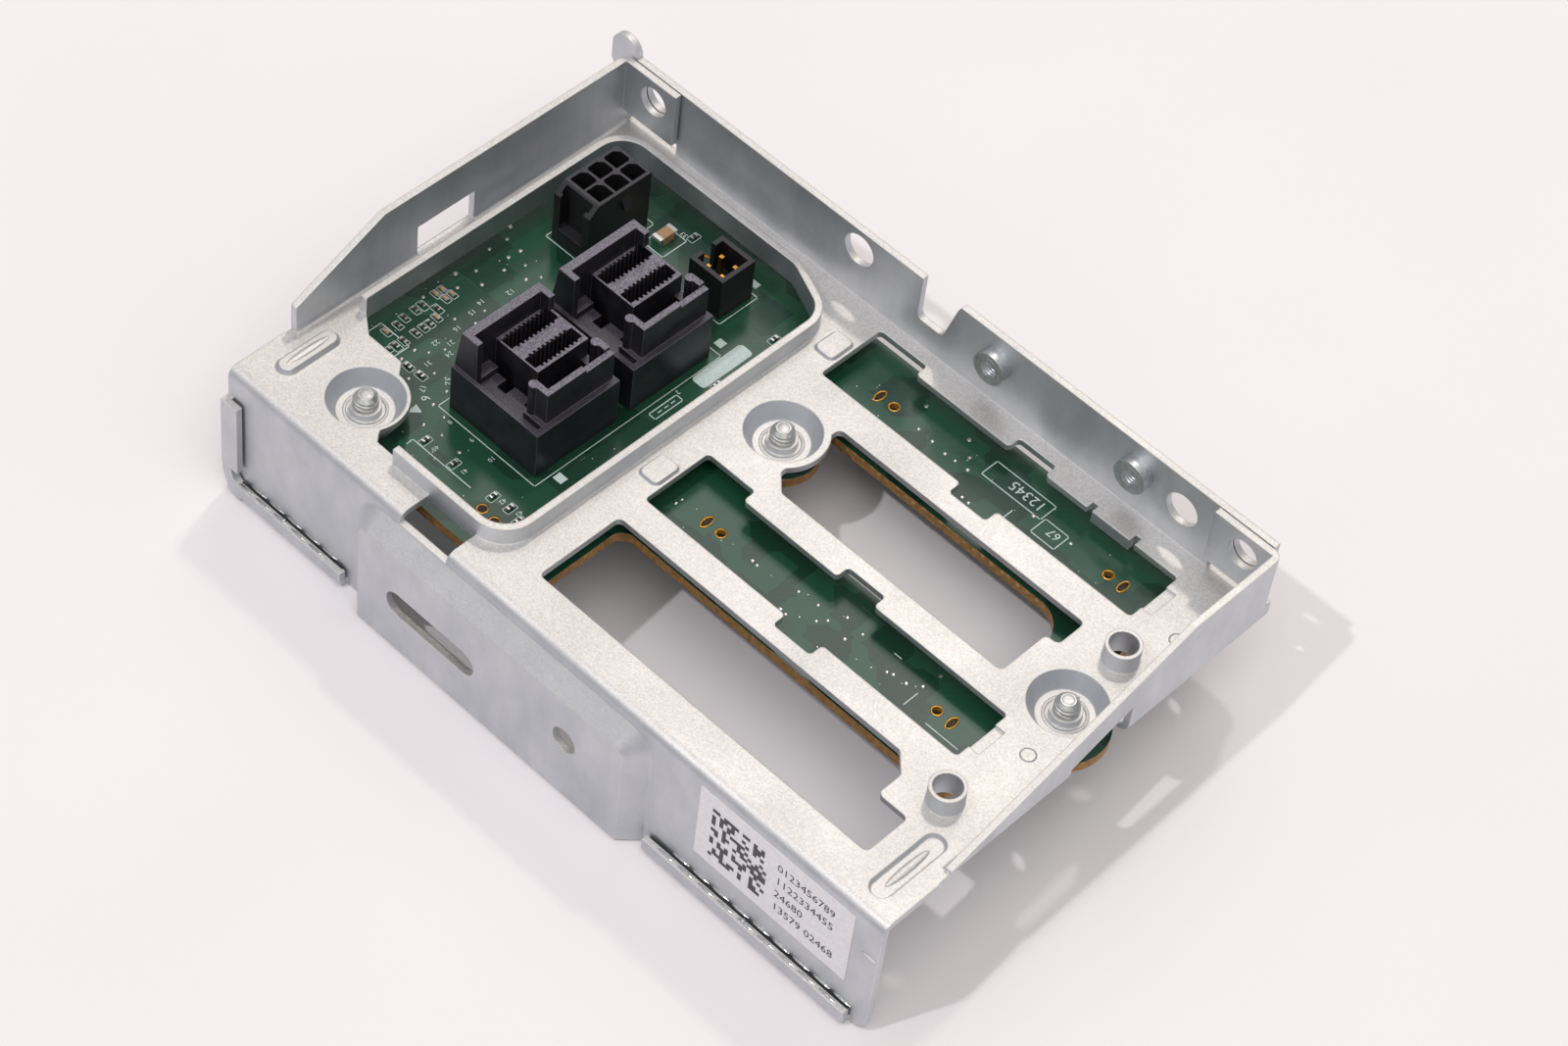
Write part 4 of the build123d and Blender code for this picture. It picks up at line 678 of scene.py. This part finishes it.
points, faces = [], []
for outline in boardPrint["outlines"] + boardPrint["boxes"]:
    ribbon(points, faces, boxPath(*outline), boardPrint["line"])
for stroke in boardPrint["strokes"]:
    ribbon(points, faces, stroke, boardPrint["line"])
marginX, marginY = boardPrint["margin"]
for low, high in chipBoxes:
    ribbon(points, faces, boxPath(low[0] - marginX, low[1] - marginY, high[0] + marginX, high[1] + marginY),
           boardPrint["fine"])
along, across = boardPrint["chipHalf"]
for places, halfX, halfY in ((chips["alongX"], along, across), (chips["alongY"], across, along)):
    for x, y in places:
        ribbon(points, faces, boxPath(x - halfX, y - halfY, x + halfX, y + halfY), boardPrint["fine"])
meshPiece("board_print_lines", points, faces, small["ink"], "board_laminate")


# A flat rounded patch of ink
def roundedPatch(points, faces, x0, y0, x1, y1, radius):
    start = len(points)
    for cx, cy, turn in ((x1 - radius, y0 + radius, -90), (x1 - radius, y1 - radius, 0),
                         (x0 + radius, y1 - radius, 90), (x0 + radius, y0 + radius, 180)):
        for step in range(boardPrint["patchSteps"] + 1):
            angle = math.radians(turn + step * 90 / boardPrint["patchSteps"])
            points.append((cx + radius * math.cos(angle), cy + radius * math.sin(angle), printZ))
    faces.append(tuple(range(start, len(points))))


points, faces = [], []
for patch in boardPrint["patches"]:
    roundedPatch(points, faces, *patch)
start = len(points)
points += [(x, y, printZ) for x, y in boardPrint["arrow"]]
faces.append((start, start + 1, start + 2))
meshPiece("board_print_patches", points, faces, small["ink"], "board_laminate")


# Plain numbers as one flat mesh; each row is text, x, y, height and turn in degrees, and upright rows stand
# on a wall, with z in place of y
def numberPiece(name, rows, lift, upright, material, slotName):
    points, faces = [], []
    for text, x, y, size, turn in rows:
        curve = bpy.data.curves.new(name + "Text", "FONT")
        curve.body = text
        curve.size = size
        curve.resolution_u = 2
        holder = bpy.data.objects.new(name + "Text", curve)
        collection.objects.link(holder)
        flat = bpy.data.meshes.new_from_object(holder.evaluated_get(bpy.context.evaluated_depsgraph_get()))
        bpy.data.objects.remove(holder)
        c, s = math.cos(math.radians(turn)), math.sin(math.radians(turn))
        n = len(points)
        for vertex in flat.vertices:
            u, v = vertex.co.x * c - vertex.co.y * s, vertex.co.x * s + vertex.co.y * c
            points.append((x + u, lift, y + v) if upright else (x + u, y + v, lift))
        faces += [tuple(n + i for i in polygon.vertices) for polygon in flat.polygons]
        bpy.data.meshes.remove(flat)
    return meshPiece(name, points, faces, material, slotName)


numberRows = [("12", -44.8, 4.7, 1.2, -90), ("14", -46.0, 0.5, 1.1, -90), ("15", -45.4, -1.6, 1.1, -90),
              ("16", -44.6, -5.0, 1.1, -90), ("21", -43.3, -7.4, 1.1, -90), ("22", -44.6, -8.8, 1.1, -90),
              ("24", -42.0, -8.8, 1.1, -90), ("31", -42.6, -12.0, 1.1, -90), ("32", -39.2, -12.4, 1.5, -40),
              ("17", -40.2, -15.6, 1.2, -60), ("6", -38.8, -16.9, 1.8, -40), ("8", -33.4, -16.9, 1.0, -90),
              ("33", -36.2, 29.0, 1.1, 180), ("40", -31.4, -21.0, 1.0, -90), ("41", -26.2, -20.9, 1.0, -90),
              ("42", -19.4, -20.6, 1.0, -90), ("43", -16.6, -20.4, 1.0, -90), ("9", -29.4, -16.9, 1.0, -90),
              ("10", -25.4, -16.9, 1.0, -90), ("2", -17.8, 8.6, 1.0, -90), ("51", -13.6, 19.4, 1.0, -90),
              ("52", -14.4, 23.2, 1.0, -90), ("53", -13.0, 14.4, 1.0, -90),
              ("12345", 27.4, 30.4, 2.3, 180), ("67", 32.0, 28.0, 1.9, 180)]
numberPiece("board_numbers", numberRows, printZ, False, small["ink"], "board_laminate")
print("stage: board print")

# Helical threads on the tips of the board screws, and their low domed ends
threads = {"tips": [(-41.05, -24.35), (-2.05, 11.65), (51.35, 6.55)], "radius": 1.48, "start": 20.25,
           "length": 1.75, "turns": 2.8, "ridge": 0.24}
grow("screw_threads", threadTree, [(x, y, threads["start"]) for x, y in threads["tips"]],
     {"Radius": threads["radius"] * mm, "Length": threads["length"] * mm, "Turns": threads["turns"],
      "Ridge": threads["ridge"] * mm, "Finish": screwSteel})
domes = {"radius": 0.85, "height": 0.1, "z": 22.58, "seed": 4}
grow("screw_domes", beadTree, [(x, y, domes["z"]) for x, y in threads["tips"]],
     {"Radius": domes["radius"] * mm, "Height": domes["height"] * mm, "Finish": screwSteel, "Spread": 0.0,
      "Seed": domes["seed"]})
print("stage: screw threads")

# Chamfered, threaded lining of the clinch nuts: one closed profile of radius and y, turned about each bore
lining = {"centres": [(11.85, 29.0), (35.85, 29.0)], "steps": 28,
          "profile": [(1.86, 33.94), (1.24, 34.3), (1.1, 34.5), (1.24, 34.7), (1.1, 34.9), (1.24, 35.1),
                      (1.1, 35.3), (1.24, 35.5), (1.1, 35.7), (1.24, 35.9), (1.245, 34.2), (1.6, 33.97)]}
points, faces = [], []
size = len(lining["profile"])
for x, z in lining["centres"]:
    start = len(points)
    for k in range(lining["steps"]):
        angle = 2 * math.pi * k / lining["steps"]
        points += [(x + r * math.cos(angle), y, z + r * math.sin(angle)) for r, y in lining["profile"]]
        here, ahead = start + k * size, start + (k + 1) % lining["steps"] * size
        faces += [(here + i, ahead + i, ahead + (i + 1) % size, here + (i + 1) % size) for i in range(size)]
meshPiece("nut_linings", points, faces, nutSteel, "nut_steel")
print("stage: nut linings")

# Hem crimps: the folded edge is pinched every few millimetres, in a front row and a raised back row
hem = {"top": 2.62, "pitch": 3.42, "length": 2.95, "width": 0.42, "height": 0.3, "frontY": -35.12,
       "backY": -34.32, "backRise": 0.25, "runs": {"right": (24.2, 56.0), "left": (-53.6, -35.0)}}
for key, (x0, x1) in hem["runs"].items():
    count = int((x1 - x0) / hem["pitch"])
    front = [(x0 + hem["pitch"] * (k + 0.5), hem["frontY"], hem["top"]) for k in range(count)]
    back = [(x0 + hem["pitch"] * k, hem["backY"], hem["top"] + hem["backRise"]) for k in range(1, count + 1)]
    grow("hem_crimps_" + key, crimpTree, front + back,
         {"Length": hem["length"] * mm, "Width": hem["width"] * mm, "Height": hem["height"] * mm,
          "Turn": unturned, "Finish": small["solder"]})

# A dark block painted as the shadow in the gap inside the fold, and a nib on each hem
hemGapShadow = {"runs": [(22.6, 56.2), (-54.4, -33.8)], "front": -34.72, "back": -34.5, "low": 2.3, "high": 2.66}
points, faces = [], []
for x0, x1 in hemGapShadow["runs"]:
    blockFaces(points, faces, (x0, hemGapShadow["front"], hemGapShadow["low"]), (x1, hemGapShadow["back"], hemGapShadow["high"]))
meshPiece("hem_gap_shadow", points, faces, small["shade"], "zinc_sheet")
hemNibs = {"places": [(39.0, -35.0, 2.7), (-44.6, -35.0, 2.7)], "radius": 0.34, "height": 0.3, "spread": 0.2,
           "seed": 3}
grow("hem_nibs", beadTree, hemNibs["places"],
     {"Radius": hemNibs["radius"] * mm, "Height": hemNibs["height"] * mm, "Finish": nutSteel,
      "Spread": hemNibs["spread"], "Seed": hemNibs["seed"]})
print("stage: hem details")

# Generic pattern of squares and plain numbers on the white label
labelArt = {"cell": 0.62, "columns": 15, "rows": 15, "left": 31.6, "low": 8.6, "lift": -34.37, "seed": 23,
            "alwaysEvery": 4, "filledShare": 0.42}
dice = random.Random(labelArt["seed"])
cell, lift = labelArt["cell"], labelArt["lift"]
points, faces = [], []
for column in range(labelArt["columns"]):
    for row in range(labelArt["rows"]):
        onGrid = column % labelArt["alwaysEvery"] == 0 and row % labelArt["alwaysEvery"] == 0
        if onGrid or dice.random() < labelArt["filledShare"]:
            x, z = labelArt["left"] + column * cell, labelArt["low"] + row * cell
            n = len(points)
            points += [(x, lift, z), (x + cell, lift, z), (x + cell, lift, z + cell), (x, lift, z + cell)]
            faces.append((n, n + 1, n + 2, n + 3))
meshPiece("label_pattern", points, faces, small["print"], "label_film")
labelText = {"lines": ["0123456789", "1122334455", "24680", "13579 02468"], "left": 42.4, "top": 16.6,
             "pitch": 2.6, "size": 1.9}
labelRows = [(line, labelText["left"], labelText["top"] - labelText["pitch"] * k, labelText["size"], 0)
             for k, line in enumerate(labelText["lines"])]
numberPiece("label_numbers", labelRows, lift, True, small["print"], "label_film")
print("stage: label")

# Ring marks pressed into the plate by the tool
toolMarks = {"places": [(54.05, 23.95), (53.35, -2.95)], "radius": 1.0, "width": 0.22, "height": 0.05}
grow("plate_tool_marks", ringTree, [(x, y, level["plateTop"]) for x, y in toolMarks["places"]],
     {"Radius": toolMarks["radius"] * mm, "Width": toolMarks["width"] * mm,
      "Height": toolMarks["height"] * mm, "Stretch": evenly, "Finish": zincSheet})

# Soft ridges along the two long beads of the plate
beads = {"places": [(-51.35, -24.95, 22.6), (54.55, -25.45, 21.35)], "length": 7.8, "width": 1.25,
         "height": 0.75}
grow("bead_ridges", crimpTree, beads["places"],
     {"Length": beads["length"] * mm, "Width": beads["width"] * mm, "Height": beads["height"] * mm,
      "Turn": (0.0, 0.0, math.pi / 2), "Finish": zincSheet})

# Flat rings on the floors of the screw dimples, about the screws
dimples = {"z": 19.6, "radius": 2.75, "width": 0.45, "height": 0.2}
grow("dimple_rings", ringTree, [(x, y, dimples["z"]) for x, y in threads["tips"]],
     {"Radius": dimples["radius"] * mm, "Width": dimples["width"] * mm, "Height": dimples["height"] * mm,
      "Stretch": evenly, "Finish": zincSheet})

# A nib on the front wall near its right end
wallNib = {"place": (57.6, -34.3, 14.9), "length": 2.4, "width": 0.5, "height": 0.5}
grow("wall_nib", crimpTree, [wallNib["place"]],
     {"Length": wallNib["length"] * mm, "Width": wallNib["width"] * mm, "Height": wallNib["height"] * mm,
      "Turn": unturned, "Finish": zincSheet})
print("stage: plate marks")

# Mitred corner where the left hem turns up into the side hem: an outer and an inner quarter ellipse, each
# its centre's x and z and its two radii
corner = {"outer": (-52.6, 4.9, 3.45, 4.9), "inner": (-52.6, 4.9, 1.75, 2.35), "steps": 8, "back": -34.4,
          "front": -35.55}
points, faces = [], []
for k in range(corner["steps"] + 1):
    angle = math.pi + k * math.pi / 2 / corner["steps"]
    for cx, cz, rx, rz in (corner["outer"], corner["inner"]):
        for y in (corner["front"], corner["back"]):
            points.append((cx + rx * math.cos(angle), y, cz + rz * math.sin(angle)))
for k in range(corner["steps"]):
    n = 4 * k
    faces += [(n, n + 4, n + 6, n + 2), (n + 1, n + 3, n + 7, n + 5), (n, n + 1, n + 5, n + 4),
              (n + 2, n + 6, n + 7, n + 3)]
end = 4 * corner["steps"]
faces += [(0, 2, 3, 1), (end, end + 1, end + 3, end + 2)]
meshPiece("hem_corner", points, faces, zincSheet, "zinc_sheet")
print("stage: hem corner")

# Floor: the part rests on its front hem and its rear receptacle, so the floor leans in the part's frame
floor = {"half": 1.6, "restY": -33.25, "slope": 0.137, "cloud": 60.0, "colour": "#f2eded",
         "fleck": "#f0ebeb"}
half = floor["half"]
floorMesh = bpy.data.meshes.new("floor")
floorMesh.from_pydata([(x, y, (y - floor["restY"] * mm) * floor["slope"]) for x, y in
                       ((-half, -half), (half, -half), (half, half), (-half, half))], [], [(0, 1, 2, 3)])
material, tree, coords = openMaterial("paperBackdrop")
closeMaterial(tree, {"Roughness": 0.75, "IOR": 1.35},
              {"Base Color": between(tree, grainOf(tree, coords, floor["cloud"]), *grainSpan,
                                     floor["fleck"], floor["colour"])})
floorMesh.materials.append(material)
floorObject = bpy.data.objects.new("floor", floorMesh)
collection.objects.link(floorObject)

# Studio light: an even white room, broad soft lamps above and beyond, and small lamps in front and behind
world = bpy.data.worlds.new("studio")
bpy.context.scene.world = world
world.use_nodes = True
worldLook = {"colour": "#f6f5fa", "strength": 0.45}
world.node_tree.nodes["Background"].inputs["Color"].default_value = linear(worldLook["colour"])
world.node_tree.nodes["Background"].inputs["Strength"].default_value = worldLook["strength"]
lights = {"frontLeft": {"toward": (-0.19, -0.5, 0.85), "distance": 1.5, "size": 0.05, "power": 5.0,
                        "colour": "#fbfaff"},
          "behind": {"toward": (-0.17, 0.44, 0.88), "distance": 1.5, "size": 0.09, "power": 3.0,
                     "colour": "#fff6f0"},
          "above": {"toward": (0.34, -0.2, 0.92), "distance": 1.6, "size": 1.3, "power": 8.6,
                    "colour": "#fffcf8"},
          "sheen": {"toward": (-0.3, 0.52, 0.8), "distance": 1.6, "size": 0.8, "power": 2.4,
                    "colour": "#fffcf8"}}
for name, light in lights.items():
    lamp = bpy.data.lights.new(name, "AREA")
    lamp.shape = "DISK"
    lamp.size = light["size"]
    lamp.energy = light["power"]
    lamp.color = linear(light["colour"])[:3]
    lampObject = bpy.data.objects.new(name, lamp)
    toward = Vector(light["toward"]).normalized()
    lampObject.location = toward * light["distance"]
    lampObject.rotation_mode = "QUATERNION"
    lampObject.rotation_quaternion = (-toward).to_track_quat("-Z", "Y")
    collection.objects.link(lampObject)

# Camera, placed as in the photograph
camera = {"place": (207.07, -254.15, 408.99), "target": (5.038, 5.407, 15.0), "roll": 8.218, "lens": 92.71,
          "sensor": 36.0}
cameraData = bpy.data.cameras.new("camera")
cameraData.lens = camera["lens"]
cameraData.sensor_width = camera["sensor"]
cameraData.clip_start = 0.01
cameraObject = bpy.data.objects.new("camera", cameraData)
place = Vector(camera["place"]) * mm
aim = (Vector(camera["target"]) * mm - place).to_track_quat("-Z", "Y")
cameraObject.location = place
cameraObject.rotation_mode = "QUATERNION"
cameraObject.rotation_quaternion = aim @ Quaternion((0, 0, 1), math.radians(camera["roll"]))
collection.objects.link(cameraObject)
bpy.context.scene.camera = cameraObject
bpy.context.scene.view_settings.view_transform = "Standard"
print("stage: floor, light and camera set")
